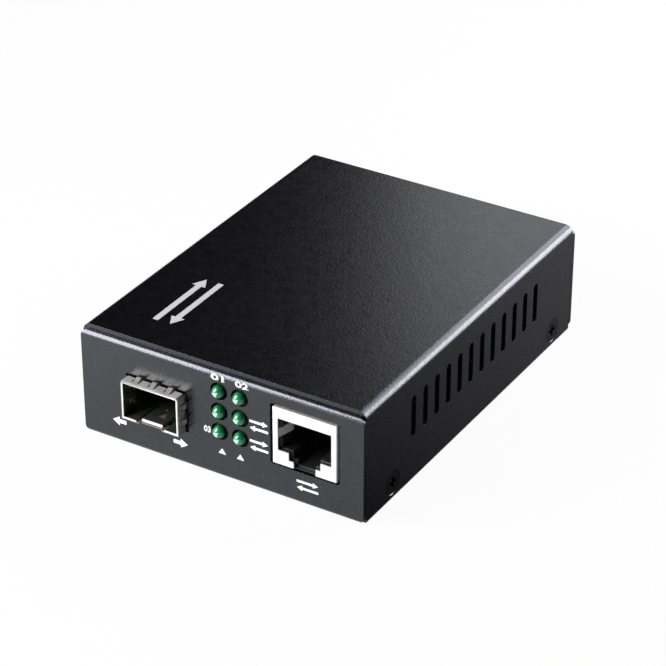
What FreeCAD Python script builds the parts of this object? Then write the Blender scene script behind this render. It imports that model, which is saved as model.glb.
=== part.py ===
# Fibre media converter: a desktop box that joins a copper network line to an optical one.
#
# Frame: millimetres, +Z up, the connectors face -Y, X runs across the front from left to right.
# The origin is the middle of the housing's underside.
#
# A folded base tray carries the board and both end panels. A folded cover drops over it and is
# held by four countersunk screws, two in each side. The SFP cage stands proud of the front panel
# and the RJ45 socket is flush with it. The power inlet opens through the rear panel.
import FreeCAD, Part
import os
import re

import Sketcher
from FreeCAD import Placement, Rotation, Vector

DIMENSIONS = {
    # Housing, folded from two steel sheets
    "body_width": 71.0,
    "body_depth": 95.3,
    "body_height": 27.3,
    "sheet": 1.0,
    "fit_gap": 0.1,
    "slip": 0.05,
    "tray_bend": 0.3,
    "cover_bend": 1.0,
    "panel_corner": 1.8,
    "panel_flange": 7.0,
    "side_flange_height": 9.0,
    "side_flange_setback": 4.0,
    # Vent slots in both sides of the cover, set back from the front face
    "vent_count": 12,
    "vent_pitch": 5.04,
    "vent_width": 2.0,
    "vent_length": 9.9,
    "vent_bottom": 11.0,
    "vent_first": 20.7,
    # Cover screws, set back from the front face
    "screw_front": 12.2,
    "screw_rear": 85.6,
    "screw_height": 3.9,
    "screw_sink": 5.9,
    "screw_head": 5.5,
    "screw_land": 0.1,
    "screw_recessed": 0.05,
    "screw_thread": 3.0,
    "screw_length": 5.0,
    "screw_play": 0.4,
    "screw_point": 0.3,
    "cross_span": 3.0,
    "cross_width": 0.8,
    "cross_depth": 1.3,
    # Circuit board and what holds it
    "board_top": 8.5,
    "board_thickness": 1.6,
    "board_width": 65.6,
    "board_setback": 1.8,
    "standoff_side": 28.8,
    "standoff_front": -11.0,
    "standoff_rear": 28.0,
    "standoff_diameter": 5.4,
    "standoff_foot": 4.2,
    "standoff_bore": 2.7,
    "board_screw_head": 5.4,
    "board_screw_head_height": 2.0,
    "board_screw_length": 5.0,
    "board_hole": 3.2,
    # SFP cage: a sheet-metal shell with a floor and a spring collar at its mouth
    "sfp_middle": -15.95,
    "sfp_bottom": 9.1,
    "sfp_width": 14.3,
    "sfp_height": 9.1,
    "sfp_length": 48.0,
    "sfp_proud": 3.0,
    "cage_sheet": 0.25,
    "cage_bend": 0.25,
    "sfp_cut_width": 15.95,
    "sfp_cut_height": 10.0,
    "sfp_cut_bottom": 8.6,
    "cage_leg_count": 5,
    "cage_leg_pitch": 9.0,
    "cage_leg_first": 8.0,
    "cage_leg_width": 0.6,
    "cage_leg_taper": 0.5,
    "cage_leg_hole": 1.1,
    "finger_pitch": 3.8,
    "finger_low": 11.15,
    "finger_width": 1.2,
    "finger_length": 4.4,
    "finger_setback": 2.4,
    "finger_reach": 0.7,
    "finger_tip": 0.6,
    "cage_floor_length": 36.0,
    "tongue_width": 5.3,
    "tongue_length": 12.0,
    "tongue_rise": 0.5,
    "tongue_setback": 0.7,
    "tongue_slit": 1.0,
    "tongue_lip_radius": 0.8,
    "tongue_lip_drop": 0.35,
    "latch_hole_width": 3.0,
    "latch_hole_length": 3.2,
    "latch_hole_setback": 3.4,
    "latch_hole_tip": 0.4,
    # Spring collar round the mouth of the cage
    "collar_sheet": 0.2,
    "collar_band": 0.9,
    "collar_depth": 2.5,
    "collar_tab_width": 1.2,
    "collar_tab_slit": 0.35,
    "collar_tab_length": 4.8,
    "collar_tab_rise": 0.5,
    "collar_tab_crest": 2.45,
    "collar_top_pitch": 4.1,
    "collar_side_pitch": 3.8,
    "collar_strap_width": 5.0,
    "collar_strap_length": 5.4,
    "cage_window_width": 2.6,
    "cage_window_length": 2.2,
    # SFP connector inside the cage
    "edge_width": 12.0,
    "edge_depth": 9.5,
    "edge_height": 7.9,
    "edge_setback": 36.8,
    "edge_slot_width": 10.4,
    "edge_slot_height": 1.4,
    "edge_slot_bottom": 12.0,
    "edge_slot_depth": 6.0,
    "edge_pitch": 0.8,
    "edge_contact_width": 0.35,
    "edge_contact_sheet": 0.2,
    "edge_contact_count": 10,
    "edge_row_width": 8.4,
    "edge_row_height": 0.6,
    # RJ45 socket
    "rj_middle": 21.25,
    "rj_bottom": 8.6,
    "rj_width": 15.8,
    "rj_height": 13.8,
    "rj_depth": 18.0,
    "rj_proud": 0.2,
    "rj_sheet": 0.3,
    "rj_cut_width": 17.1,
    "rj_cut_height": 15.1,
    "rj_cut_bottom": 8.0,
    "rj_cut_corner": 0.8,
    "rj_mouth_width": 13.1,
    "rj_mouth_top": 19.9,
    "rj_mouth_bottom": 12.0,
    "rj_step_width": 7.8,
    "rj_step_bottom": 10.1,
    "rj_notch_width": 5.4,
    "rj_lip": 0.7,
    "rj_cavity_width": 11.9,
    "rj_cavity_top": 19.2,
    "rj_cavity_bottom": 12.3,
    "rj_latch_width": 6.6,
    "rj_latch_bottom": 10.4,
    "rj_tab_width": 4.4,
    "rj_tab_bottom": 9.3,
    "rj_cavity_depth": 12.5,
    "rj_spring_bottom": 14.9,
    "rj_spring_width": 2.2,
    "rj_spring_length": 4.4,
    "rj_spring_reach": 1.1,
    "rj_contact_pitch": 1.02,
    "rj_contact_width": 0.4,
    "rj_contact_sheet": 0.25,
    "rj_comb_width": 8.6,
    "rj_comb_front": 1.5,
    "rj_comb_height": 1.3,
    "rj_insert_depth": 16.4,
    "rj_leg_width": 1.0,
    "rj_leg_hole": 1.4,
    "rj_leg_setback": 9.0,
    "rj_contact_count": 8,
    "rj_contact_rise": 0.9,
    "rj_contact_hook": 0.5,
    "rj_blade_length": 8.0,
    "rj_blade_drop": 2.4,
    "rj_tail_hole": 0.7,
    # Indicator lamps
    "led_left": 0.0,
    "led_column": 5.2,
    "led_low": 11.6,
    "led_row": 5.0,
    "led_hole": 4.2,
    "led_diameter": 3.0,
    "led_barrel": 2.8,
    "led_rim_diameter": 3.8,
    "led_rim": 1.0,
    "led_lead": 0.5,
    "led_lead_pitch": 2.54,
    "led_holder_width": 4.6,
    "led_holder_depth": 4.0,
    "led_holder_height": 15.6,
    "led_holder_bore": 0.8,
    "led_lead_setback": 1.2,
    "led_lead_step": 1.6,
    # Power inlet in the rear panel
    "jack_middle": 20.0,
    "jack_axis": 15.0,
    "jack_width": 9.0,
    "jack_depth": 14.0,
    "jack_height": 11.0,
    "jack_nose": 7.8,
    "jack_hole": 8.2,
    "jack_bore": 5.7,
    "jack_bore_depth": 10.0,
    "jack_pin": 2.0,
    "jack_spring_width": 2.0,
    "jack_spring_sheet": 0.3,
    "jack_tail_width": 2.4,
    "jack_tail_hole": 2.7,
    "jack_groove": 0.7,
    "jack_heel": 3.2,
    # Leads that go through the board
    "lead_drop": 2.6,
    "lead_hole": 0.9,
    # Chips and their leads
    "chip_size": 14.0,
    "chip_height": 1.4,
    "chip_lift": 0.15,
    "chip_lead_count": 12,
    "chip_lead_pitch": 1.0,
    "magnetics_width": 16.0,
    "magnetics_depth": 9.0,
    "magnetics_height": 6.0,
    "magnetics_lead_count": 10,
    "magnetics_lead_pitch": 1.27,
    "lead_width": 0.3,
    "lead_sheet": 0.15,
    "lead_reach": 1.0,
    "chip_bevel": 0.25,
    "chip_shoulder": 0.4,
    # Other parts on the board
    "input_can_diameter": 8.0,
    "input_can_height": 11.5,
    "output_can_diameter": 6.3,
    "output_can_height": 9.0,
    "can_groove": 0.35,
    "can_edge": 0.4,
    "crystal_length": 11.2,
    "crystal_width": 4.4,
    "crystal_height": 3.2,
    "crystal_pitch": 4.88,
    "seat_gap": 0.4,
    "inductor_size": 6.8,
    "inductor_base": 1.2,
    "inductor_core": 5.4,
    "inductor_flange": 6.6,
    "inductor_height": 4.2,
}

# Places that many pieces share, as rules over the cells
FRONT = "(-body_depth / 2)"
REAR = "(body_depth / 2)"
SIDE = "(body_width / 2)"
TRAY_SIDE = "(body_width / 2 - sheet - fit_gap)"
PANEL_TOP = "(body_height - sheet - fit_gap)"
BOARD_BOTTOM = "(board_top - board_thickness)"
SFP_FRONT = f"({FRONT} - sfp_proud)"
SFP_TOP = "(sfp_bottom + sfp_height)"
RJ_FRONT = f"({FRONT} - rj_proud)"
RJ_TOP = "(rj_bottom + rj_height)"
RJ_INSERT_TOP = f"({RJ_TOP} - rj_sheet - slip)"
LED_BACK = f"({FRONT} + led_barrel + led_rim)"
JACK_FRONT = f"({REAR} - sheet - fit_gap)"

TO_FRONT = Rotation(Vector(1, 0, 0), 90)
TO_REAR = Rotation(Vector(1, 0, 0), -90)
TO_RIGHT = Rotation(Vector(0, 1, 0), 90)
TO_LEFT = Rotation(Vector(0, 1, 0), -90)
UPRIGHT = Rotation()

doc = FreeCAD.newDocument("fibre_media_converter")
dims = doc.addObject("Spreadsheet::Sheet", "dims")
for row, (alias, number) in enumerate(DIMENSIONS.items(), start=1):
    dims.set(f"A{row}", alias)
    dims.set(f"B{row}", str(number))
    dims.setAlias(f"B{row}", alias)
doc.recompute()

sub_parts = []
board_holes = []


# Expressions and the sheet


def formula(rule):
    """The rule over cell names, written as an expression on the sheet."""
    return re.sub(
        r"[a-z_]+", lambda word: f"dims.{word[0]}" if word[0] in DIMENSIONS else word[0], rule
    )


def amount(rule):
    """The number that a rule over cell names gives."""
    return float(dims.evalExpression(formula(rule)))


def bind(thing, **rules):
    """Bind properties to rules over cell names. A double underscore stands for a dot."""
    for name, rule in rules.items():
        thing.setExpression(name.replace("__", "."), formula(rule))
    return thing


def keep(thing, name):
    """Label a finished sub-part and put it on the list of what is written out."""
    thing.Label = name
    sub_parts.append(thing)
    return thing


# Sketches and PartDesign features


def new_body(name):
    return doc.addObject("PartDesign::Body", name)


def new_sketch(body, name, plane, offset="0"):
    """Sketch on one of the body's own planes, moved along that plane's normal."""
    sketch = body.newObject("Sketcher::SketchObject", f"{body.Name}_{name}")
    base = next(item for item in body.Origin.OriginFeatures if item.Role == plane)
    sketch.AttachmentSupport = [(base, "")]
    sketch.MapMode = "FlatFace"
    bind(sketch, AttachmentOffset__Base__z=offset)
    return sketch


def hold(sketch, kind, geometry, vertex, rule):
    """Hold one coordinate of a sketch point at a rule over cell names."""
    constraint = Sketcher.Constraint(kind, -1, 1, geometry, vertex, amount(rule))
    number = sketch.addConstraint(constraint)
    sketch.setExpression(f"Constraints[{number}]", formula(rule))


def outline(sketch, points):
    """Closed outline through the points, every one held by rules over cell names.

    A point is (across, up), reached by a straight line. One that is reached by an arc adds the
    arc's centre and its turn: (across, up, centre_across, centre_up, "left" or "right").
    """
    places = [Vector(amount(point[0]), amount(point[1]), 0) for point in points]
    edges = []
    for index, point in enumerate(points):
        start, end = places[index - 1], places[index]
        if len(point) == 2:
            edges.append((sketch.addGeometry(Part.LineSegment(start, end)), 1, 2))
            continue
        middle = Vector(amount(point[2]), amount(point[3]), 0)
        circle = Part.Circle(middle, Vector(0, 0, 1), (end - middle).Length)
        if point[4] == "left":
            arc = Part.ArcOfCircle(circle, circle.parameter(start), circle.parameter(end))
            edges.append((sketch.addGeometry(arc), 1, 2))
        else:
            arc = Part.ArcOfCircle(circle, circle.parameter(end), circle.parameter(start))
            edges.append((sketch.addGeometry(arc), 2, 1))
    for index, point in enumerate(points):
        edge, _, last = edges[index]
        following, first, _ = edges[(index + 1) % len(edges)]
        sketch.addConstraint(Sketcher.Constraint("Coincident", edge, last, following, first))
        hold(sketch, "DistanceX", edge, last, point[0])
        hold(sketch, "DistanceY", edge, last, point[1])
        if len(point) > 2:
            chord = places[index] - places[index - 1]
            if abs(chord.x) >= abs(chord.y):
                hold(sketch, "DistanceY", edge, 3, point[3])
            else:
                hold(sketch, "DistanceX", edge, 3, point[2])


def rectangle(sketch, left, bottom, right, top):
    outline(sketch, [(left, bottom), (right, bottom), (right, top), (left, top)])


def circle(sketch, across, up, diameter):
    middle = Vector(amount(across), amount(up), 0)
    number = sketch.addGeometry(Part.Circle(middle, Vector(0, 0, 1), amount(diameter) / 2))
    hold(sketch, "DistanceX", number, 3, across)
    hold(sketch, "DistanceY", number, 3, up)
    constraint = sketch.addConstraint(Sketcher.Constraint("Diameter", number, amount(diameter)))
    sketch.setExpression(f"Constraints[{constraint}]", formula(diameter))


def pad(body, sketch, length, symmetric=False, reverse=False):
    """Pad a sketch along its plane's normal, or against it, or half to each side."""
    feature = body.newObject("PartDesign::Pad", f"{sketch.Name}_pad")
    feature.Profile = sketch
    feature.SideType = "Symmetric" if symmetric else "One side"
    feature.Reversed = reverse
    bind(feature, Length=length)
    doc.recompute()
    return feature


def removed_something(before, feature):
    """Stop where a cut misses the solid, which FreeCAD doesn't report."""
    doc.recompute()
    if feature.Shape.Volume > before - 1e-6:
        raise ValueError(f"{feature.Name} removes nothing")
    return feature


def pocket(body, sketch, length=None, symmetric=False, reverse=False):
    """Cut a sketch against its plane's normal, right through where no length is given."""
    before = body.Shape.Volume
    feature = body.newObject("PartDesign::Pocket", f"{sketch.Name}_pocket")
    feature.Profile = sketch
    feature.SideType = "Symmetric" if symmetric else "One side"
    feature.Reversed = reverse
    if length is None:
        feature.Type = "ThroughAll"
    else:
        bind(feature, Length=length)
    return removed_something(before, feature)


def countersunk_hole(body, sketch, diameter, sink):
    """Through holes with a 90 degree countersink, from the sketch's side of the solid."""
    before = body.Shape.Volume
    doc.recompute()
    feature = body.newObject("PartDesign::Hole", f"{sketch.Name}_hole")
    feature.Profile = sketch
    feature.ThreadType = "None"
    feature.DepthType = "Dimension"
    feature.HoleCutType = "Countersink"
    feature.HoleCutCustomValues = True
    feature.HoleCutCountersinkAngle = 90
    feature.DrillPoint = "Flat"
    bind(feature, Diameter=diameter, HoleCutDiameter=sink, Depth="2 * sheet")
    return removed_something(before, feature)


def revolve(body, sketch, axis="V_Axis"):
    """Turn a sketch all the way round one of its own axes."""
    feature = body.newObject("PartDesign::Revolution", f"{sketch.Name}_turned")
    feature.Profile = sketch
    feature.ReferenceAxis = (sketch, [axis])
    feature.Angle = 360
    doc.recompute()
    return feature


def mirror(body, originals, plane):
    """Repeat features on the other side of one of the body's own planes."""
    feature = body.newObject("PartDesign::Mirrored", f"{originals[0].Name}_mirror")
    feature.Originals = originals
    base = next(item for item in body.Origin.OriginFeatures if item.Role == plane)
    feature.MirrorPlane = (base, [""])
    body.Tip = feature
    doc.recompute()
    return feature


def repeat(body, originals, sketch, axis, count, pitch):
    """Repeat features in a row along one of a sketch's axes."""
    feature = body.newObject("PartDesign::LinearPattern", f"{originals[0].Name}_row")
    feature.Originals = originals
    feature.Direction = (sketch, [axis])
    feature.Mode = "Spacing"
    bind(feature, Occurrences=count, Offset=pitch)
    body.Tip = feature
    doc.recompute()
    return feature


def round_edges(body, name, axis, lines, radius):
    """Round the straight edges along an axis (0, 1 or 2) that lie on the given lines.

    A line is the pair of rules for its two other coordinates, in X, Y, Z order.
    """
    base = body.Tip
    others = [index for index in range(3) if index != axis]
    wanted = {tuple(round(amount(rule), 3) for rule in line) for line in lines}
    names = []
    for number, edge in enumerate(base.Shape.Edges, start=1):
        ends = {tuple(round(vertex.Point[index], 3) for index in others) for vertex in edge.Vertexes}
        if len(ends) == 1 and len(edge.Vertexes) == 2 and ends <= wanted:
            names.append(f"Edge{number}")
    feature = body.newObject("PartDesign::Fillet", f"{body.Name}_{name}")
    feature.Base = (base, names)
    bind(feature, Radius=radius)
    doc.recompute()
    return feature


# Part primitives and booleans


def block(name, middle, front, bottom, width, depth, height):
    """Box centred on X at middle, from its front and bottom faces."""
    box = doc.addObject("Part::Box", name)
    bind(box, Length=width, Width=depth, Height=height)
    bind(box, Placement__Base__x=f"{middle} - ({width}) / 2")
    return bind(box, Placement__Base__y=front, Placement__Base__z=bottom)


def rod(name, place, turn, diameter, length):
    """Cylinder from a place, standing along +Z after the turn."""
    cylinder = doc.addObject("Part::Cylinder", name)
    cylinder.Placement = Placement(Vector(), turn)
    bind(cylinder, Radius=f"({diameter}) / 2", Height=length)
    across, back, up = place
    return bind(
        cylinder, Placement__Base__x=across, Placement__Base__y=back, Placement__Base__z=up
    )


def fuse(name, pieces):
    whole = doc.addObject("Part::MultiFuse", name)
    whole.Shapes = pieces
    doc.recompute()
    return whole


def cut(name, base, tools):
    """Cut tools out of a base, and check that the cut removes something."""
    doc.recompute()
    result = doc.addObject("Part::Cut", name)
    result.Base = base
    result.Tool = tools[0] if len(tools) == 1 else fuse(f"{name}_tools", tools)
    return removed_something(base.Shape.Volume, result)


def copies(name, pieces):
    """Group of separate solids: links to an original, each at its own place and turn."""
    links = []
    for original, place, turn in pieces:
        link = doc.addObject("App::Link", f"{name}_copy")
        link.LinkedObject = original
        link.LinkTransform = False
        link.Placement = Placement(Vector(), turn)
        across, back, up = place
        bind(link, Placement__Base__x=across, Placement__Base__y=back, Placement__Base__z=up)
        links.append(link)
    doc.recompute()
    group = doc.addObject("Part::Compound", name)
    group.Links = links
    doc.recompute()
    return group


# Housing


def lamp_places():
    """Every lamp's name with the rules for its place across and up."""
    columns = {"left": "led_left", "right": "(led_left + led_column)"}
    rows = {"bottom": "led_low", "middle": "(led_low + led_row)", "top": "(led_low + 2 * led_row)"}
    return {
        f"led_{column}_{row}": (across, up)
        for column, across in columns.items()
        for row, up in rows.items()
    }


def standoff_places():
    """The four places where the board is held, across and back."""
    return [
        (side, back)
        for side in ("(-standoff_side)", "standoff_side")
        for back in ("standoff_front", "standoff_rear")
    ]


def screw_backs():
    """How far back the two screws of one side of the cover are."""
    return [f"{FRONT} + screw_front", f"{FRONT} + screw_rear"]


def make_base_tray():
    """Folded tray: floor, full-width end panels with top flanges, and side flanges."""
    body = new_body("base_tray")
    fold_tray_ends(body)
    trim_tray_ends(body)
    fold_tray_sides(body)
    cut_tray_openings(body)
    return keep(body, "base_tray")


def fold_tray_ends(body):
    """Floor and end panels as one bent channel, seen from the side."""
    folded = new_sketch(body, "channel", "YZ_Plane")
    under_top = f"{PANEL_TOP} - sheet"
    outline(
        folded,
        [
            (FRONT, "0"),
            (REAR, "0"),
            (REAR, PANEL_TOP),
            (f"{REAR} - panel_flange", PANEL_TOP),
            (f"{REAR} - panel_flange", under_top),
            (f"{REAR} - sheet", under_top),
            (f"{REAR} - sheet", "sheet"),
            (f"{FRONT} + sheet", "sheet"),
            (f"{FRONT} + sheet", under_top),
            (f"{FRONT} + panel_flange", under_top),
            (f"{FRONT} + panel_flange", PANEL_TOP),
            (FRONT, PANEL_TOP),
        ],
    )
    pad(body, folded, "body_width", symmetric=True)
    outer = [(back, up) for back in (FRONT, REAR) for up in ("0", PANEL_TOP)]
    inner = [
        (back, up)
        for back in (f"{FRONT} + sheet", f"{REAR} - sheet")
        for up in ("sheet", under_top)
    ]
    round_edges(body, "end_bends_outside", 0, outer, "tray_bend + sheet")
    round_edges(body, "end_bends_inside", 0, inner, "tray_bend")


def trim_tray_ends(body):
    """Leave full width to the end panels only, and round their corners."""
    reliefs = new_sketch(body, "reliefs", "XY_Plane")
    front_end = f"{FRONT} + sheet + fit_gap / 2"
    rear_end = f"{REAR} - sheet - fit_gap / 2"
    relief = f"{TRAY_SIDE} - sheet - tray_bend"
    rectangle(reliefs, relief, front_end, SIDE, rear_end)
    rectangle(reliefs, f"-{SIDE}", front_end, f"-({relief})", rear_end)
    pocket(body, reliefs, reverse=True)

    corners = new_sketch(body, "panel_corners", "XZ_Plane", REAR)
    for side, sign in ((SIDE, 1), (f"-{SIDE}", -1)):
        inward = f"{side} - {sign} * panel_corner"
        for edge, up, turn in ((PANEL_TOP, -1, "left"), ("0", 1, "right")):
            shifted = f"{edge} + {up} * panel_corner"
            arc_turn = turn if sign == 1 else {"left": "right", "right": "left"}[turn]
            outline(corners, [(inward, edge, inward, shifted, arc_turn), (side, edge), (side, shifted)])
    pocket(body, corners)


def fold_tray_sides(body):
    """Low flanges bent up from the floor inside the cover's sides."""
    trough = new_sketch(body, "trough", "XZ_Plane")
    outline(
        trough,
        [
            (f"-{TRAY_SIDE}", "0"),
            (TRAY_SIDE, "0"),
            (TRAY_SIDE, "side_flange_height"),
            (f"{TRAY_SIDE} - sheet", "side_flange_height"),
            (f"{TRAY_SIDE} - sheet", "sheet"),
            (f"sheet - {TRAY_SIDE}", "sheet"),
            (f"sheet - {TRAY_SIDE}", "side_flange_height"),
            (f"-{TRAY_SIDE}", "side_flange_height"),
        ],
    )
    pad(body, trough, "body_depth - 2 * side_flange_setback", symmetric=True)
    below = [(side, "0") for side in (TRAY_SIDE, f"-{TRAY_SIDE}")]
    above = [(side, "sheet") for side in (f"{TRAY_SIDE} - sheet", f"sheet - {TRAY_SIDE}")]
    round_edges(body, "side_bends_outside", 1, below, "tray_bend + sheet")
    round_edges(body, "side_bends_inside", 1, above, "tray_bend")


def cut_tray_openings(body):
    """Openings for the sockets, lamps and power inlet, and holes for standoffs and screws."""
    front_holes = new_sketch(body, "front_holes", "XZ_Plane", f"-{FRONT}")
    rectangle(
        front_holes,
        "sfp_middle - sfp_cut_width / 2",
        "sfp_cut_bottom",
        "sfp_middle + sfp_cut_width / 2",
        "sfp_cut_bottom + sfp_cut_height",
    )
    rectangle(
        front_holes,
        "rj_middle - rj_cut_width / 2",
        "rj_cut_bottom",
        "rj_middle + rj_cut_width / 2",
        "rj_cut_bottom + rj_cut_height",
    )
    for across, up in lamp_places().values():
        circle(front_holes, across, up, "led_hole")
    pocket(body, front_holes, "2 * sheet")
    cut_corners = [
        (f"rj_middle + {side} * rj_cut_width / 2", f"rj_cut_bottom + {top} * rj_cut_height")
        for side in (-1, 1)
        for top in (0, 1)
    ]
    round_edges(body, "socket_corners", 1, cut_corners, "rj_cut_corner")

    rear_hole = new_sketch(body, "rear_hole", "XZ_Plane", f"-{REAR}")
    circle(rear_hole, "jack_middle", "jack_axis", "jack_hole")
    pocket(body, rear_hole, "2 * sheet", reverse=True)

    floor_holes = new_sketch(body, "floor_holes", "XY_Plane")
    for across, back in standoff_places():
        circle(floor_holes, across, back, "standoff_foot")
    pocket(body, floor_holes, "2 * sheet", reverse=True)

    side_holes = new_sketch(body, "side_holes", "YZ_Plane", TRAY_SIDE)
    for back in screw_backs():
        circle(side_holes, back, "screw_height", "screw_thread")
    through_cover = "screw_sink - 2 * (sheet + fit_gap)"
    holes = countersunk_hole(body, side_holes, "screw_thread", through_cover)
    mirror(body, [holes], "YZ_Plane")


def make_top_cover():
    """Folded cover: top and two sides, with vent slots and countersunk screw holes."""
    body = new_body("top_cover")
    folded = new_sketch(body, "channel", "XZ_Plane")
    under_top = "body_height - sheet"
    outline(
        folded,
        [
            (f"-{SIDE}", "fit_gap"),
            (f"sheet - {SIDE}", "fit_gap"),
            (f"sheet - {SIDE}", under_top),
            (f"{SIDE} - sheet", under_top),
            (f"{SIDE} - sheet", "fit_gap"),
            (SIDE, "fit_gap"),
            (SIDE, "body_height"),
            (f"-{SIDE}", "body_height"),
        ],
    )
    pad(body, folded, "body_depth - 2 * (sheet + fit_gap)", symmetric=True)
    outer = [(side, "body_height") for side in (SIDE, f"-{SIDE}")]
    inner = [(side, under_top) for side in (f"{SIDE} - sheet", f"sheet - {SIDE}")]
    round_edges(body, "bends_outside", 1, outer, "cover_bend + sheet")
    round_edges(body, "bends_inside", 1, inner, "cover_bend")

    vent = new_sketch(body, "vent", "YZ_Plane")
    middle = f"{FRONT} + vent_first"
    left, right = f"{middle} - vent_width / 2", f"{middle} + vent_width / 2"
    low, high = "vent_bottom + vent_width / 2", "vent_bottom + vent_length - vent_width / 2"
    outline(
        vent,
        [
            (right, low, middle, low, "left"),
            (right, high),
            (left, high, middle, high, "left"),
            (left, low),
        ],
    )
    slot = pocket(body, vent, symmetric=True)
    repeat(body, [slot], vent, "H_Axis", "vent_count", "vent_pitch")

    screw_holes = new_sketch(body, "screw_holes", "YZ_Plane", SIDE)
    for back in screw_backs():
        circle(screw_holes, back, "screw_height", "screw_thread + screw_play")
    holes = countersunk_hole(body, screw_holes, "screw_thread + screw_play", "screw_sink")
    mirror(body, [holes], "YZ_Plane")
    return keep(body, "top_cover")


def cross_recess(screw, top):
    """Cut a cross into a screw's flat top, about its axis."""
    cross = new_sketch(screw, "cross", "XY_Plane", top)
    reach, half = "cross_span / 2", "cross_width / 2"
    quarter = [(reach, f"-{half}"), (reach, half), (half, half)]
    points = []
    for _ in range(4):
        points.extend(quarter)
        quarter = [(f"-({up})", across) for across, up in quarter]
    outline(cross, points)
    return pocket(screw, cross, "cross_depth")


def make_cover_screws():
    """Four countersunk screws with a cross recess. The blank's head faces +Z at its origin."""
    blank = new_body("cover_screw_blank")
    turned = new_sketch(blank, "section", "XZ_Plane")
    head, shank = "screw_head / 2", "(screw_thread / 2 - slip)"
    outline(
        turned,
        [
            ("0", "0"),
            (head, "0"),
            (head, "-screw_land"),
            (shank, f"{shank} - {head} - screw_land"),
            (shank, "screw_point - screw_length"),
            (f"{shank} - screw_point", "-screw_length"),
            ("0", "-screw_length"),
        ],
    )
    revolve(blank, turned)
    cross_recess(blank, "0")
    places = [
        (blank, (f"{sign} * ({SIDE} - screw_recessed)", back, "screw_height"), turn)
        for sign, turn in ((1, TO_RIGHT), (-1, TO_LEFT))
        for back in screw_backs()
    ]
    return keep(copies("cover_screws", places), "cover_screws")


# Board and its fixings


def make_board_standoffs():
    """Four threaded spacers, pressed flush into the floor from below."""
    blank = new_body("standoff_blank")
    turned = new_sketch(blank, "section", "XZ_Plane")
    outline(
        turned,
        [
            ("standoff_bore / 2", "0"),
            ("standoff_foot / 2", "0"),
            ("standoff_foot / 2", "sheet"),
            ("standoff_diameter / 2", "sheet"),
            ("standoff_diameter / 2", BOARD_BOTTOM),
            ("standoff_bore / 2", BOARD_BOTTOM),
        ],
    )
    revolve(blank, turned)
    places = [(blank, (across, back, "0"), UPRIGHT) for across, back in standoff_places()]
    return keep(copies("board_standoffs", places), "board_standoffs")


def make_board_screws():
    """Four pan-head screws that clamp the board on its standoffs."""
    blank = new_body("board_screw_blank")
    turned = new_sketch(blank, "section", "XZ_Plane")
    shank, crown = "(standoff_bore / 2 - slip)", "board_screw_head_height"
    outline(
        turned,
        [
            ("0", "-board_screw_length"),
            (shank, "-board_screw_length"),
            (shank, "0"),
            ("board_screw_head / 2", "0"),
            ("board_screw_head / 2", f"{crown} / 2"),
            (f"board_screw_head / 2 - {crown} / 2", crown, f"board_screw_head / 2 - {crown} / 2",
             f"{crown} / 2", "left"),
            ("0", crown),
        ],
    )
    revolve(blank, turned)
    cross_recess(blank, crown)
    places = [(blank, (across, back, "board_top"), UPRIGHT) for across, back in standoff_places()]
    board_holes.extend((across, back, "board_hole") for across, back in standoff_places())
    return keep(copies("board_screws", places), "board_screws")


def make_circuit_board():
    """Board with a clearance hole for every screw and lead that passes through it."""
    plate = block(
        "board_plate",
        "0",
        f"{FRONT} + board_setback",
        BOARD_BOTTOM,
        "board_width",
        "body_depth - 2 * board_setback",
        "board_thickness",
    )
    drills = [
        rod("board_drill", (across, back, f"{BOARD_BOTTOM} - 1"), UPRIGHT, diameter, "board_thickness + 2")
        for across, back, diameter in board_holes
    ]
    return keep(cut("circuit_board", plate, drills), "circuit_board")


# SFP cage


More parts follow.
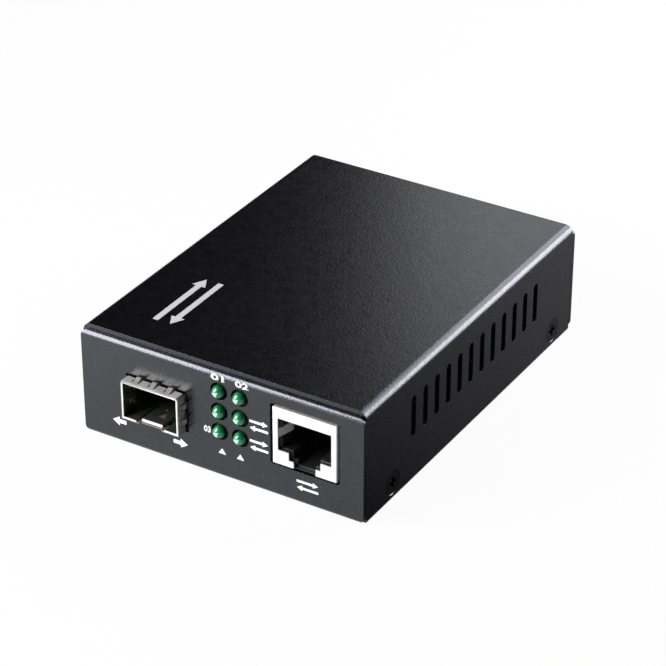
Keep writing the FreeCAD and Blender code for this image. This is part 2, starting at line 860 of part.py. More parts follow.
def make_sfp_cage_shell():
    """Cage folded from one sheet: top, sides and back, press-fit legs and side spring fingers."""
    body = new_body("sfp_cage_shell")
    folded = new_sketch(body, "channel", "XZ_Plane", f"-{SFP_FRONT}")
    left, right = "sfp_middle - sfp_width / 2", "sfp_middle + sfp_width / 2"
    outline(
        folded,
        [
            (left, "sfp_bottom"),
            (f"{left} + cage_sheet", "sfp_bottom"),
            (f"{left} + cage_sheet", f"{SFP_TOP} - cage_sheet"),
            (f"{right} - cage_sheet", f"{SFP_TOP} - cage_sheet"),
            (f"{right} - cage_sheet", "sfp_bottom"),
            (right, "sfp_bottom"),
            (right, SFP_TOP),
            (left, SFP_TOP),
        ],
    )
    pad(body, folded, "sfp_length", reverse=True)
    corners = [(side, SFP_TOP) for side in (left, right)]
    round_edges(body, "bends", 1, corners, "cage_bend + cage_sheet")

    back = new_sketch(body, "back", "XZ_Plane", f"-({SFP_FRONT} + sfp_length)")
    inside = "cage_sheet / 2"
    rectangle(
        back, f"{left} + {inside}", f"sfp_bottom + {inside}", f"{right} - {inside}", f"{SFP_TOP} - {inside}"
    )
    pad(body, back, "cage_sheet")

    for name, wall, inward in (("left", left, 1), ("right", right, -1)):
        inner_face = f"{wall} + {inward} * cage_sheet"
        windows = new_sketch(body, f"{name}_windows", "YZ_Plane", wall)
        start = f"{SFP_FRONT} + finger_setback"
        for low in ("finger_low", "finger_low + finger_pitch"):
            rectangle(windows, start, low, f"{start} + finger_length", f"{low} + finger_width")
        pocket(body, windows, "cage_sheet", reverse=inward == 1)
        for row, low in enumerate(("finger_low", "finger_low + finger_pitch")):
            finger = new_sketch(body, f"{name}_finger_{row}", "XY_Plane", low)
            root = f"{start} + finger_length"
            tip = f"{inner_face} + {inward} * finger_reach"
            outline(
                finger,
                [
                    (wall, root),
                    (tip, f"{start} + finger_tip"),
                    (f"{tip} + {inward} * cage_sheet", f"{start} + finger_tip"),
                    (inner_face, f"{root} + cage_sheet"),
                    (wall, f"{root} + cage_sheet"),
                ],
            )
            pad(body, finger, "finger_width")

    top_windows = new_sketch(body, "top_windows", "XY_Plane", SFP_TOP)
    for step in range(4):
        window = f"(sfp_middle + ({step} - 3 / 2) * collar_top_pitch)"
        rectangle(
            top_windows,
            f"{window} - cage_window_width / 2",
            f"{SFP_FRONT} + collar_depth",
            f"{window} + cage_window_width / 2",
            f"{SFP_FRONT} + collar_depth + cage_window_length",
        )
    pocket(body, top_windows, "2 * cage_sheet")

    first_leg = f"{SFP_FRONT} + cage_leg_first"
    for name, face in (("near_leg", left), ("far_leg", f"{right} - cage_sheet")):
        leg = new_sketch(body, name, "YZ_Plane", face)
        outline(leg, cage_leg_outline(first_leg))
        first = pad(body, leg, "cage_sheet")
        repeat(body, [first], leg, "H_Axis", "cage_leg_count", "cage_leg_pitch")
        board_holes.extend(
            (f"{face} + cage_sheet / 2", f"{first_leg} + {step} * cage_leg_pitch", "cage_leg_hole")
            for step in range(DIMENSIONS["cage_leg_count"])
        )
    return keep(body, "sfp_cage_shell")


def cage_leg_outline(middle):
    """Outline of one press-fit leg, back against up, narrowing to its tip."""
    half, tip = "cage_leg_width / 2", "board_top - lead_drop"
    right = [(half, "sfp_bottom"), (half, f"{tip} + cage_leg_taper"), (f"{half} / 2", tip)]
    front = [(f"{middle} - {across}", up) for across, up in right]
    return front + [(f"{middle} + {across}", up) for across, up in reversed(right)]


def make_sfp_cage_floor():
    """Cage floor with a sprung latch tongue: lifted towards the mouth, and its lip turned down."""
    body = new_body("sfp_cage_floor")
    half = "(sfp_width / 2 - cage_sheet - slip)"
    left, right = f"sfp_middle - {half}", f"sfp_middle + {half}"
    plate = new_sketch(body, "plate", "XY_Plane", "sfp_bottom")
    rectangle(plate, left, SFP_FRONT, right, f"{SFP_FRONT} + cage_floor_length")
    pad(body, plate, "cage_sheet")
    window = new_sketch(body, "window", "XY_Plane", "sfp_bottom + cage_sheet")
    reach = "(tongue_width / 2 + tongue_slit)"
    rectangle(
        window,
        f"sfp_middle - {reach}",
        SFP_FRONT,
        f"sfp_middle + {reach}",
        f"{SFP_FRONT} + tongue_length",
    )
    pocket(body, window, "cage_sheet")

    tongue = new_sketch(body, "tongue", "YZ_Plane", "sfp_middle")
    root = f"{SFP_FRONT} + tongue_length"
    crest = f"({SFP_FRONT} + tongue_setback + tongue_lip_radius)"
    flat, raised = "(sfp_bottom + cage_sheet)", "(sfp_bottom + cage_sheet + tongue_rise)"
    front, lip = f"({SFP_FRONT} + tongue_setback)", "sfp_bottom - tongue_lip_drop"
    bend = f"({raised} - tongue_lip_radius)"
    outline(
        tongue,
        [
            (f"{root} + tongue_slit", "sfp_bottom"),
            (f"{root} + tongue_slit", flat),
            (root, flat),
            (crest, raised),
            (front, bend, crest, bend, "left"),
            (front, lip),
            (f"{front} + cage_sheet", lip),
            (f"{front} + cage_sheet", bend),
            (crest, f"{raised} - cage_sheet", crest, bend, "right"),
            (root, "sfp_bottom"),
        ],
    )
    pad(body, tongue, "tongue_width", symmetric=True)

    latch = new_sketch(body, "latch_hole", "XY_Plane", SFP_TOP)
    mouth = f"{SFP_FRONT} + latch_hole_setback"
    outline(
        latch,
        [
            ("sfp_middle - latch_hole_width / 2", mouth),
            ("sfp_middle + latch_hole_width / 2", mouth),
            ("sfp_middle + latch_hole_tip / 2", f"{mouth} + latch_hole_length"),
            ("sfp_middle - latch_hole_tip / 2", f"{mouth} + latch_hole_length"),
        ],
    )
    pocket(body, latch)
    return keep(body, "sfp_cage_floor")


def make_sfp_spring_collar():
    """Strip welded round the cage's mouth, whose tabs bulge out to meet the panel's edge."""
    body = new_body("sfp_spring_collar")
    inner_across, inner_up = "(sfp_width / 2 + slip)", "(sfp_height / 2 + slip)"
    across, up = f"({inner_across} + collar_sheet)", f"({inner_up} + collar_sheet)"
    centre = "(sfp_bottom + sfp_height / 2)"
    left, right = f"sfp_middle - {across}", f"sfp_middle + {across}"
    band = new_sketch(body, "band", "XZ_Plane", f"-{SFP_FRONT}")
    rectangle(band, left, f"{centre} - {up}", right, f"{centre} + {up}")
    pad(body, band, "collar_depth", reverse=True)
    round_edges(
        body, "top_corners", 1, [(side, f"{centre} + {up}") for side in (left, right)], "2 * cage_bend"
    )
    mouth = new_sketch(body, "mouth", "XZ_Plane", f"-{SFP_FRONT}")
    rectangle(
        mouth,
        f"sfp_middle - {inner_across}",
        f"{centre} - {inner_up}",
        f"sfp_middle + {inner_across}",
        f"{centre} + {inner_up}",
    )
    pocket(body, mouth, "collar_depth")

    behind = f"({SFP_FRONT} + collar_band)"
    slit_half = "(collar_tab_width / 2 + collar_tab_slit)"
    top_slits = new_sketch(body, "top_slits", "XY_Plane", f"{centre} + {up}")
    for step in (-1, 0, 1):
        tab = f"(sfp_middle + {step} * collar_top_pitch)"
        rectangle(top_slits, f"{tab} - {slit_half}", behind, f"{tab} + {slit_half}", FRONT)
    pocket(body, top_slits, "2 * collar_sheet")
    side_slits = new_sketch(body, "side_slits", "YZ_Plane", f"sfp_middle + {across}")
    for step in (-1, 1):
        tab = f"({centre} + {step} * collar_side_pitch / 2)"
        rectangle(side_slits, behind, f"{tab} - {slit_half}", FRONT, f"{tab} + {slit_half}")
    pocket(body, side_slits)

    lip_notch = new_sketch(body, "lip_notch", "XY_Plane", centre)
    notch_half = "(tongue_width / 2 + collar_tab_slit)"
    rectangle(
        lip_notch,
        f"sfp_middle - {notch_half}",
        f"{SFP_FRONT} - sheet",
        f"sfp_middle + {notch_half}",
        f"{SFP_FRONT} + tongue_setback + 2 * cage_sheet",
    )
    pocket(body, lip_notch)

    top_tab = new_sketch(body, "top_tab", "YZ_Plane", "sfp_middle - collar_top_pitch")
    outline(top_tab, collar_tab_section(behind, f"{centre} + {up}", "1"))
    first_tab = pad(body, top_tab, "collar_tab_width", symmetric=True)
    repeat(body, [first_tab], top_tab, "N_Axis", "3", "collar_top_pitch")
    for name, side in (("right", "1"), ("left", "-1")):
        low = f"{centre} - collar_side_pitch / 2"
        side_tab = new_sketch(body, f"{name}_tab", "XY_Plane", low)
        section = collar_tab_section(behind, f"sfp_middle + {side} * {across}", side)
        outline(side_tab, [(out, back) for back, out in section])
        low_tab = pad(body, side_tab, "collar_tab_width", symmetric=True)
        repeat(body, [low_tab], side_tab, "N_Axis", "2", "collar_side_pitch")

    strap = new_sketch(body, "strap", "XY_Plane", f"{centre} - {up}")
    rectangle(
        strap,
        "sfp_middle - collar_strap_width / 2",
        f"{SFP_FRONT} + collar_depth / 2",
        "sfp_middle + collar_strap_width / 2",
        f"{SFP_FRONT} + collar_depth + collar_strap_length",
    )
    pad(body, strap, "collar_sheet")
    return keep(body, "sfp_spring_collar")


def collar_tab_section(root, face, outward):
    """Section of a collar tab, back against out: it rises to a crest and falls behind the panel."""
    crest = f"{SFP_FRONT} + collar_tab_crest"
    top = [
        (f"{root} - collar_tab_slit", "0"),
        (root, "0"),
        (crest, "collar_tab_rise"),
        (f"{FRONT} - fit_gap", "fit_gap"),
        (f"{SFP_FRONT} + collar_tab_length", "0"),
    ]
    under = [(back, f"{out} - collar_sheet") for back, out in reversed(top)]
    return [(back, f"{face} + {outward} * ({out})") for back, out in top + under]


def make_sfp_connector():
    """Edge connector on the board, inside the cage: a card slot with a comb above and below it."""
    front = f"({SFP_FRONT} + edge_setback)"
    body = block(
        "edge_body", "sfp_middle", front, "board_top", "edge_width", "edge_depth", "edge_height"
    )
    slot = block(
        "edge_slot",
        "sfp_middle",
        f"{front} - 1",
        "edge_slot_bottom",
        "edge_slot_width",
        "edge_slot_depth + 1",
        "edge_slot_height",
    )
    combs = [
        block(name, "sfp_middle", f"{front} - 1", low, "edge_row_width", "edge_depth + 2", "edge_row_height")
        for name, low in (
            ("edge_upper_comb", "edge_slot_bottom + edge_slot_height"),
            ("edge_lower_comb", "edge_slot_bottom - edge_row_height"),
        )
    ]
    return keep(cut("sfp_connector", body, [slot, *combs]), "sfp_connector")


def make_sfp_contacts():
    """Twenty edge contacts: the upper row ends behind the connector, the lower one in front."""
    front = f"({SFP_FRONT} + edge_setback)"
    sheet = "edge_contact_sheet"
    rear = f"{front} + edge_depth + {sheet} + fit_gap"
    mouth = f"{front} - {sheet} - fit_gap"
    blanks = []
    for name, low, tail, tip, away in (
        ("upper", "edge_slot_bottom + edge_slot_height + fit_gap", rear, f"{front} + 1", 1),
        ("lower", f"edge_slot_bottom - fit_gap - {sheet}", mouth, f"{front} + edge_slot_depth", -1),
    ):
        blank = new_body(f"sfp_{name}_contact_blank")
        section = new_sketch(blank, "section", "YZ_Plane")
        behind = f"{tail} - {away} * {sheet}"
        outline(
            section,
            [
                (tip, low),
                (tip, f"{low} + {sheet}"),
                (behind, f"{low} + {sheet}"),
                (behind, "board_top"),
                (tail, "board_top"),
                (tail, low),
            ],
        )
        pad(blank, section, "edge_contact_width", symmetric=True)
        blanks.append(blank)
    places = [
        (blank, (f"sfp_middle + ({step} - (edge_contact_count - 1) / 2) * edge_pitch", "0", "0"), UPRIGHT)
        for blank in blanks
        for step in range(DIMENSIONS["edge_contact_count"])
    ]
    return keep(copies("sfp_contacts", places), "sfp_contacts")


# RJ45 socket


def stepped_mouth(widths, heights):
    """Outline of a plug opening: a wide top, a latch step and a tab notch, all centred."""
    half = [f"({width}) / 2" for width in widths]
    top, ledge, step, bottom = heights
    right = [
        (half[0], top),
        (half[0], ledge),
        (half[1], ledge),
        (half[1], step),
        (half[2], step),
        (half[2], bottom),
    ]
    left = [(f"rj_middle - {across}", up) for across, up in right]
    return left + [(f"rj_middle + {across}", up) for across, up in reversed(right)]


FACE_MOUTH = (
    ("rj_mouth_width", "rj_step_width", "rj_notch_width"),
    ("rj_mouth_top", "rj_mouth_bottom", "rj_step_bottom"),
)


COMB_TOP = "(rj_cavity_top + rj_contact_rise + rj_contact_sheet)"


def make_rj45_shield():
    """Plated shield, open underneath, with its mouth cut in the face and two springs inside."""
    body = new_body("rj45_shield")
    left, right = "rj_middle - rj_width / 2", "rj_middle + rj_width / 2"
    face = new_sketch(body, "face", "XZ_Plane", f"-{RJ_FRONT}")
    rectangle(face, left, "rj_bottom", right, RJ_TOP)
    pad(body, face, "rj_depth", reverse=True)
    top_edges = [(side, RJ_TOP) for side in (left, right)]
    round_edges(body, "top_bends", 1, top_edges, "rj_sheet")
    round_edges(body, "face_bend", 0, [(RJ_FRONT, RJ_TOP)], "rj_sheet")

    hollow = new_sketch(body, "hollow", "XY_Plane", "rj_bottom")
    rectangle(
        hollow,
        f"{left} + rj_sheet",
        f"{RJ_FRONT} + rj_sheet",
        f"{right} - rj_sheet",
        f"{RJ_FRONT} + rj_depth - rj_sheet",
    )
    pocket(body, hollow, "rj_height - rj_sheet", reverse=True)
    mouth = new_sketch(body, "mouth", "XZ_Plane", f"-{RJ_FRONT}")
    outline(mouth, stepped_mouth(FACE_MOUTH[0], (*FACE_MOUTH[1], "rj_bottom - 1")))
    pocket(body, mouth, "2 * rj_sheet")

    root = f"({RJ_FRONT} + rj_sheet)"
    for name, wall, inward in (("left", left, 1), ("right", right, -1)):
        spring = new_sketch(body, f"{name}_spring", "XY_Plane", "rj_spring_bottom")
        lip = f"rj_middle - {inward} * rj_mouth_width / 2"
        outline(
            spring,
            [
                (f"{lip} - {inward} * rj_sheet", f"{root} - rj_sheet / 2"),
                (lip, f"{root} - rj_sheet / 2"),
                (f"{lip} + {inward} * rj_spring_reach", f"{root} + rj_spring_length"),
                (f"{lip} + {inward} * (rj_spring_reach - rj_sheet)", f"{root} + rj_spring_length"),
            ],
        )
        pad(body, spring, "rj_spring_width")
        leg = new_sketch(body, f"{name}_leg", "XZ_Plane", f"-({RJ_FRONT} + rj_leg_setback)")
        inner = f"{wall} + {inward} * rj_sheet"
        rectangle(leg, wall, "board_top - lead_drop", inner, "rj_bottom")
        pad(body, leg, "rj_leg_width", symmetric=True)
        board_holes.append((f"({wall} + {inner}) / 2", f"{RJ_FRONT} + rj_leg_setback", "rj_leg_hole"))
    return keep(body, "rj45_shield")


def make_rj45_insert():
    """Plastic body of the socket: plug cavity, spring grooves and a comb for the contacts."""
    body = new_body("rj45_insert")
    half = "(rj_width / 2 - rj_sheet - slip)"
    start = f"({RJ_FRONT} + rj_sheet + slip)"
    outer = new_sketch(body, "outer", "XZ_Plane", f"-{start}")
    rectangle(outer, f"rj_middle - {half}", "rj_bottom", f"rj_middle + {half}", RJ_INSERT_TOP)
    pad(body, outer, "rj_insert_depth", reverse=True)

    lip = new_sketch(body, "lip", "XZ_Plane", f"-{start}")
    outline(lip, stepped_mouth(FACE_MOUTH[0], (*FACE_MOUTH[1], "rj_bottom + rj_contact_sheet")))
    pocket(body, lip, "rj_lip")
    cavity = new_sketch(body, "cavity", "XZ_Plane", f"-{start}")
    widths = ("rj_cavity_width", "rj_latch_width", "rj_tab_width")
    heights = ("rj_cavity_top", "rj_cavity_bottom", "rj_latch_bottom", "rj_tab_bottom")
    outline(cavity, stepped_mouth(widths, heights))
    pocket(body, cavity, "rj_cavity_depth")

    grooves = new_sketch(body, "spring_grooves", "XZ_Plane", f"-{start}")
    groove_half = "(rj_mouth_width / 2 + rj_sheet + fit_gap)"
    low = "rj_spring_bottom - fit_gap"
    rectangle(
        grooves,
        f"rj_middle - {groove_half}",
        low,
        f"rj_middle + {groove_half}",
        f"{low} + rj_spring_width + 2 * fit_gap",
    )
    pocket(body, grooves, "rj_spring_length + 1")

    comb = new_sketch(body, "comb", "XZ_Plane", f"-({start} + rj_comb_front)")
    rectangle(
        comb,
        "rj_middle - rj_comb_width / 2",
        f"{COMB_TOP} - rj_comb_height",
        "rj_middle + rj_comb_width / 2",
        COMB_TOP,
    )
    pocket(body, comb)
    return keep(body, "rj45_insert")


def make_rj45_contacts():
    """Eight sprung contacts: a tail behind the insert, a run over the cavity, a blade inside."""
    blank = new_body("rj45_contact_blank")
    section = new_sketch(blank, "section", "YZ_Plane")
    sheet, high = "rj_contact_sheet", "(rj_cavity_top + rj_contact_rise)"
    start = f"{RJ_FRONT} + rj_sheet + slip"
    nose = f"({start} + rj_comb_front + {sheet})"
    tail = f"({start} + rj_insert_depth + {sheet})"
    tip_back, tip_up = f"{nose} + rj_blade_length", "(rj_cavity_top - rj_blade_drop)"
    foot = "board_top - lead_drop"
    outline(
        section,
        [
            (f"{tail} + {sheet}", foot),
            (f"{tail} + {sheet}", high),
            (nose, high),
            (nose, f"{high} - rj_contact_hook"),
            (tip_back, tip_up),
            (tip_back, f"{tip_up} + {sheet}"),
            (f"{nose} + 2 * {sheet}", f"{high} - {sheet}"),
            (tail, f"{high} - {sheet}"),
            (tail, foot),
        ],
    )
    pad(blank, section, "rj_contact_width", symmetric=True)
    middle = "(rj_contact_count - 1) / 2"
    steps = [
        f"rj_middle + ({step} - {middle}) * rj_contact_pitch"
        for step in range(DIMENSIONS["rj_contact_count"])
    ]
    board_holes.extend((across, f"{tail} + {sheet} / 2", "rj_tail_hole") for across in steps)
    places = [(blank, (across, "0", "0"), UPRIGHT) for across in steps]
    return keep(copies("rj45_contacts", places), "rj45_contacts")


# Indicator lamps


def make_lamp(name, across, up):
    """Domed lamp whose hemisphere starts at the panel's face, at its body's origin."""
    body = new_body(name)
    section = new_sketch(body, "section", "XY_Plane")
    radius, rim = "led_diameter / 2", "led_rim_diameter / 2"
    outline(
        section,
        [
            ("0", f"-({radius})"),
            (radius, "0", "0", "0", "left"),
            (radius, "led_barrel"),
            (rim, "led_barrel"),
            (rim, "led_barrel + led_rim"),
            ("0", "led_barrel + led_rim"),
        ],
    )
    revolve(body, section)
    bind(body, Placement__Base__x=across, Placement__Base__y=FRONT, Placement__Base__z=up)
    return keep(body, name)


def lead_places(column):
    """Where a column's two rows of leads are, across."""
    return [f"{column} + {side} * led_lead_pitch / 2" for side in (-1, 1)]


def make_lamp_holder(name, column):
    """Block behind one column of lamps, bored for their leads."""
    body = block(
        f"{name}_block",
        column,
        f"{LED_BACK} + slip",
        "board_top",
        "led_holder_width",
        "led_holder_depth",
        "led_holder_height",
    )
    bores = [
        rod(f"{name}_bore", (across, LED_BACK, f"led_low + {level} * led_row"), TO_REAR,
            "led_holder_bore", "led_holder_depth + sheet")
        for across in lead_places(column)
        for level in range(3)
    ]
    return keep(cut(name, body, bores), name)


def make_lamp_leads():
    """Twelve leads: each runs straight back through its holder and turns down into the board."""
    places = []
    for level in range(3):
        blank = new_body(f"led_lead_blank_{level}")
        section = new_sketch(blank, "section", "YZ_Plane")
        axis = f"(led_low + {level} * led_row)"
        back = f"({LED_BACK} + led_holder_depth + led_lead_setback + {level} * led_lead_step)"
        half, foot = "(led_lead / 2)", "board_top - lead_drop"
        turn = (f"{back} - led_lead", f"{axis} - led_lead")
        outline(
            section,
            [
                (LED_BACK, f"{axis} + {half}"),
                (LED_BACK, f"{axis} - {half}"),
                (turn[0], f"{axis} - {half}"),
                (f"{back} - {half}", turn[1], turn[0], turn[1], "right"),
                (f"{back} - {half}", foot),
                (f"{back} + {half}", foot),
                (f"{back} + {half}", turn[1]),
                (turn[0], f"{axis} + {half}", turn[0], turn[1], "left"),
            ],
        )
        pad(blank, section, "led_lead", symmetric=True)
        for column in ("led_left", "(led_left + led_column)"):
            for across in lead_places(column):
                places.append((blank, (across, "0", "0"), UPRIGHT))
                board_holes.append((across, back, "lead_hole"))
    return keep(copies("led_leads", places), "led_leads")


# Power inlet


def make_dc_jack():
    """Barrel inlet: a moulded body with a round bore, its centre pin and its sleeve spring."""
    front = f"({JACK_FRONT} - jack_depth)"
    under_bore = "(jack_axis - jack_bore / 2)"
    shell = block(
        "jack_shell", "jack_middle", front, "board_top", "jack_width", "jack_depth", "jack_height"
    )
    place = ("jack_middle", JACK_FRONT, "jack_axis")
    nose = rod("jack_nose_rod", place, TO_REAR, "jack_nose", f"{REAR} - {JACK_FRONT}")
    moulding = fuse("jack_moulding", [shell, nose])
    mouth = ("jack_middle", REAR, "jack_axis")
    bore = rod("jack_bore_rod", mouth, TO_FRONT, "jack_bore", "jack_bore_depth")
    pin_hole = rod("jack_pin_hole", mouth, TO_FRONT, "jack_pin + fit_gap", "jack_depth + 2 * sheet")
    groove = block(
        "jack_spring_groove",
        "jack_middle",
        f"{front} + jack_heel - fit_gap",
        f"{under_bore} - jack_groove",
        "jack_spring_width + 2 * fit_gap",
        "jack_depth - jack_heel - sheet",
        "jack_groove + sheet",
    )
    tail_slot = block(
        "jack_tail_slot",
        "jack_middle",
        f"{front} + jack_heel - fit_gap",
        "board_top - sheet",
        "jack_spring_width + 2 * fit_gap",
        "jack_spring_sheet + 2 * fit_gap",
        f"{under_bore} - board_top + sheet",
    )
    keep(cut("dc_jack_body", moulding, [bore, pin_hole, groove, tail_slot]), "dc_jack_body")
    make_dc_jack_pin(front)
    make_dc_jack_spring(front, under_bore)


def make_dc_jack_pin(front):
    """Centre pin with a round tip, and its flat tail behind the moulding."""
    pin = new_body("dc_jack_pin")
    section = new_sketch(pin, "section", "XY_Plane")
    radius, tip = "jack_pin / 2", f"({JACK_FRONT} - sheet / 2)"
    tail_back = f"({front} - jack_spring_sheet)"
    outline(
        section,
        [
            ("0", tail_back),
            (radius, tail_back),
            (radius, f"{tip} - {radius}"),
            ("0", tip, "0", f"{tip} - {radius}", "left"),
        ],
    )
    revolve(pin, section)
    bind(pin, Placement__Base__x="jack_middle", Placement__Base__z="jack_axis")
    tail = new_sketch(pin, "tail", "XY_Plane", "board_top - lead_drop - jack_axis")
    half = "jack_tail_width / 2"
    rectangle(tail, f"-({half})", f"{tail_back} - jack_spring_sheet", half, tail_back)
    pad(pin, tail, f"jack_axis - board_top + lead_drop + {radius}")
    board_holes.append(("jack_middle", f"{tail_back} - jack_spring_sheet / 2", "jack_tail_hole"))
    return keep(pin, "dc_jack_pin")


def make_dc_jack_spring(front, under_bore):
    """Sleeve contact in the floor of the bore, whose tail goes down through the moulding."""
    spring = new_body("dc_jack_spring")
    side = new_sketch(spring, "side", "YZ_Plane", "jack_middle")
    heel, sheet = f"({front} + jack_heel)", "jack_spring_sheet"
    low, far = f"({under_bore} - jack_groove + fit_gap)", f"({JACK_FRONT} - 2 * sheet)"
    outline(
        side,
        [
            (heel, "board_top - lead_drop"),
            (f"{heel} + {sheet}", "board_top - lead_drop"),
            (f"{heel} + {sheet}", low),
            (far, f"{low} + {sheet}"),
            (far, f"{low} + 2 * {sheet}"),
            (heel, f"{low} + {sheet}"),
        ],
    )
    pad(spring, side, "jack_spring_width", symmetric=True)
    board_holes.append(("jack_middle", f"{heel} + {sheet} / 2", "jack_tail_hole"))
    return keep(spring, "dc_jack_spring")


# Chips and other parts soldered on the board


def lead_rows(count, pitch, width, depth, sides):
    """Places and turns of a package's leads about its middle, side by side on each side."""
    turns = {"front": 0, "right": 90, "rear": 180, "left": 270}
    reach = {"front": depth, "rear": depth, "left": width, "right": width}
    rows = []
    for side in sides:
        turn = Rotation(Vector(0, 0, 1), turns[side])
        for step in range(count):
            along = (step - (count - 1) / 2) * pitch
            place = turn.multVec(Vector(along, -reach[side] / 2, 0))
            rows.append((place, turn))
    return rows


def make_lead_blank(lift):
    """Gull-wing lead of a chip: it leaves the body at its origin and faces -Y."""
    blank = new_body("chip_lead_blank")
    section = new_sketch(blank, "section", "YZ_Plane")
    outline(
        section,
        [
            ("0", lift),
            ("0", f"{lift} + lead_sheet"),
            ("-lead_reach / 2", f"{lift} + lead_sheet"),
            ("-lead_reach / 2", "lead_sheet"),
            ("-lead_reach", "lead_sheet"),
            ("-lead_reach", "0"),
            ("lead_sheet - lead_reach / 2", "0"),
            ("lead_sheet - lead_reach / 2", lift),
        ],
    )
    pad(blank, section, "lead_width", symmetric=True)
    return blank


def make_chip(name, sizes, leads, sides):
    """Moulded package with a bevelled top, on leads of its own that lift it off the board."""
    across, back = BOARD_PLACES[name]
    width, depth, height = sizes
    low = "(board_top + chip_lift)"
    package = block(f"{name}_package", across, f"{back} - ({depth}) / 2", low, width, depth, height)
    doc.recompute()
    top = amount(f"{low} + {height}")
    bevel = DIMENSIONS["chip_bevel"]
    bevelled = doc.addObject("Part::Chamfer", name)
    bevelled.Base = package
    bevelled.Edges = [
        (number, bevel, bevel)
        for number, edge in enumerate(package.Shape.Edges, start=1)
        if all(abs(vertex.Point.z - top) < 1e-6 for vertex in edge.Vertexes)
    ]
    keep(bevelled, name)
    count, pitch = leads
    blank = make_lead_blank("chip_lift + chip_shoulder")
    places = [
        (blank, (f"{across} + {place.x}", f"{back} + {place.y}", "board_top"), turn)
        for place, turn in lead_rows(count, pitch, amount(width), amount(depth), sides)
    ]
    keep(copies(f"{name}_leads", places), f"{name}_leads")


def stand_on_board(body, leads_apart):
    """Give a part two round leads through the board, and put it in its place."""
    across, back = BOARD_PLACES[body.Name]
    leads = new_sketch(body, "leads", "XY_Plane", "-lead_drop")
    for side in (-1, 1):
        circle(leads, f"{side} * ({leads_apart}) / 2", "0", "led_lead")
        board_holes.append((f"{across} + {side} * ({leads_apart}) / 2", back, "lead_hole"))
    pad(body, leads, "lead_drop + seat_gap + led_lead")
    bind(body, Placement__Base__x=across, Placement__Base__y=back, Placement__Base__z="board_top")
    return keep(body, body.Name)


def make_capacitor(name, diameter, height):
    """Standing electrolytic can with a rolled groove above its base."""
    body = new_body(name)
    section = new_sketch(body, "section", "XZ_Plane")
    radius, bend, groove = f"({diameter} / 2)", f"({diameter} / 2 - can_edge)", "(6 * can_groove)"
    outline(
        section,
        [
            ("0", "seat_gap"),
            (bend, "seat_gap"),
            (radius, "seat_gap + can_edge", bend, "seat_gap + can_edge", "left"),
            (radius, f"{groove} - can_groove"),
            (radius, f"{groove} + can_groove", radius, groove, "right"),
            (radius, f"{height} - can_edge"),
            (bend, height, bend, f"{height} - can_edge", "left"),
            ("0", height),
        ],
    )
    revolve(body, section)
    return stand_on_board(body, f"{diameter} / 2")


def make_crystal():
    """Flat metal can of the clock crystal, with round ends."""
    body = new_body("crystal")
    can = new_sketch(body, "can", "XY_Plane", "seat_gap")
    half, side = "(crystal_width / 2)", "(crystal_length / 2 - crystal_width / 2)"
    outline(
        can,
        [
            (side, f"-{half}"),
            (side, half, side, "0", "left"),
            (f"-{side}", half),
            (f"-{side}", f"-{half}", f"-{side}", "0", "left"),
        ],
    )
    pad(body, can, "crystal_height")
    return stand_on_board(body, "crystal_pitch")


def make_inductor():
    """Power inductor: a square base, a core standing in it and a wider flange on top."""
    body = new_body("power_inductor")
    half = "inductor_size / 2"
    base = new_sketch(body, "base", "XY_Plane")
    rectangle(base, f"-{half}", f"-{half}", half, half)
    pad(body, base, "inductor_base")
    for name, low, diameter, height in (
        ("core", "0", "inductor_core", "inductor_height"),
        ("flange", "inductor_height - inductor_base / 2", "inductor_flange", "inductor_base / 2"),
    ):
        drum = new_sketch(body, name, "XY_Plane", low)
        circle(drum, "0", "0", diameter)
        pad(body, drum, height)
    across, back = BOARD_PLACES["power_inductor"]
    bind(body, Placement__Base__x=across, Placement__Base__y=back, Placement__Base__z="board_top")
    return keep(body, "power_inductor")


def make_small_parts(name, size, places):
    """Small soldered blocks of one size, as a group of separate solids."""
    width, depth, height = (f"{side}" for side in size)
    blank = block(f"{name}_blank", "0", f"-{depth} / 2", "0", width, depth, height)
    spots = [
        (blank, (f"{across}", f"{back}", "board_top"), Rotation(Vector(0, 0, 1), turn))
        for across, back, turn in places
    ]
    return keep(copies(name, spots), name)


BOARD_PLACES = {
    "switch_chip": ("4", "2"),
    "magnetics_module": ("rj_middle", "-20"),
    "eeprom": ("-2", "-20"),
    "regulator": ("8", "24"),
    "capacitor_input": ("6", "36"),
    "capacitor_output": ("-6", "30"),
    "crystal": ("18", "-9"),
    "power_inductor": ("19.5", "22"),
}
RESISTOR_SIZE = (1.6, 0.8, 0.5)
CERAMIC_SIZE = (2.0, 1.25, 1.2)


def make_board_parts():
    """Everything else that is soldered on top of the board."""
    make_chip(
        "switch_chip",
        ("chip_size", "chip_size", "chip_height"),
        (DIMENSIONS["chip_lead_count"], DIMENSIONS["chip_lead_pitch"]),
        ("front", "right", "rear", "left"),
    )
    make_chip(
        "magnetics_module",
        ("magnetics_width", "magnetics_depth", "magnetics_height"),
        (DIMENSIONS["magnetics_lead_count"], DIMENSIONS["magnetics_lead_pitch"]),
        ("front", "rear"),
    )
    make_chip("eeprom", ("5", "4", "1.5"), (4, 1.27), ("front", "rear"))
    make_chip("regulator", ("6.4", "3.6", "1.7"), (3, 2.3), ("front",))
    make_capacitor("capacitor_input", "input_can_diameter", "input_can_height")
    make_capacitor("capacitor_output", "output_can_diameter", "output_can_height")
    make_crystal()
    make_inductor()
    front_row = [(3 * step - 4, 14, 90) for step in range(6)]
    side_row = [(14, 2.5 * step - 4, 0) for step in range(5)]
    make_small_parts("chip_resistors", RESISTOR_SIZE, front_row + side_row)
    left_row = [(-6, 3 * step - 8, 0) for step in range(6)]
    rear_row = [(14 + 3.2 * step, 14, 90) for step in range(4)]
    make_small_parts("chip_capacitors", CERAMIC_SIZE, left_row + rear_row)


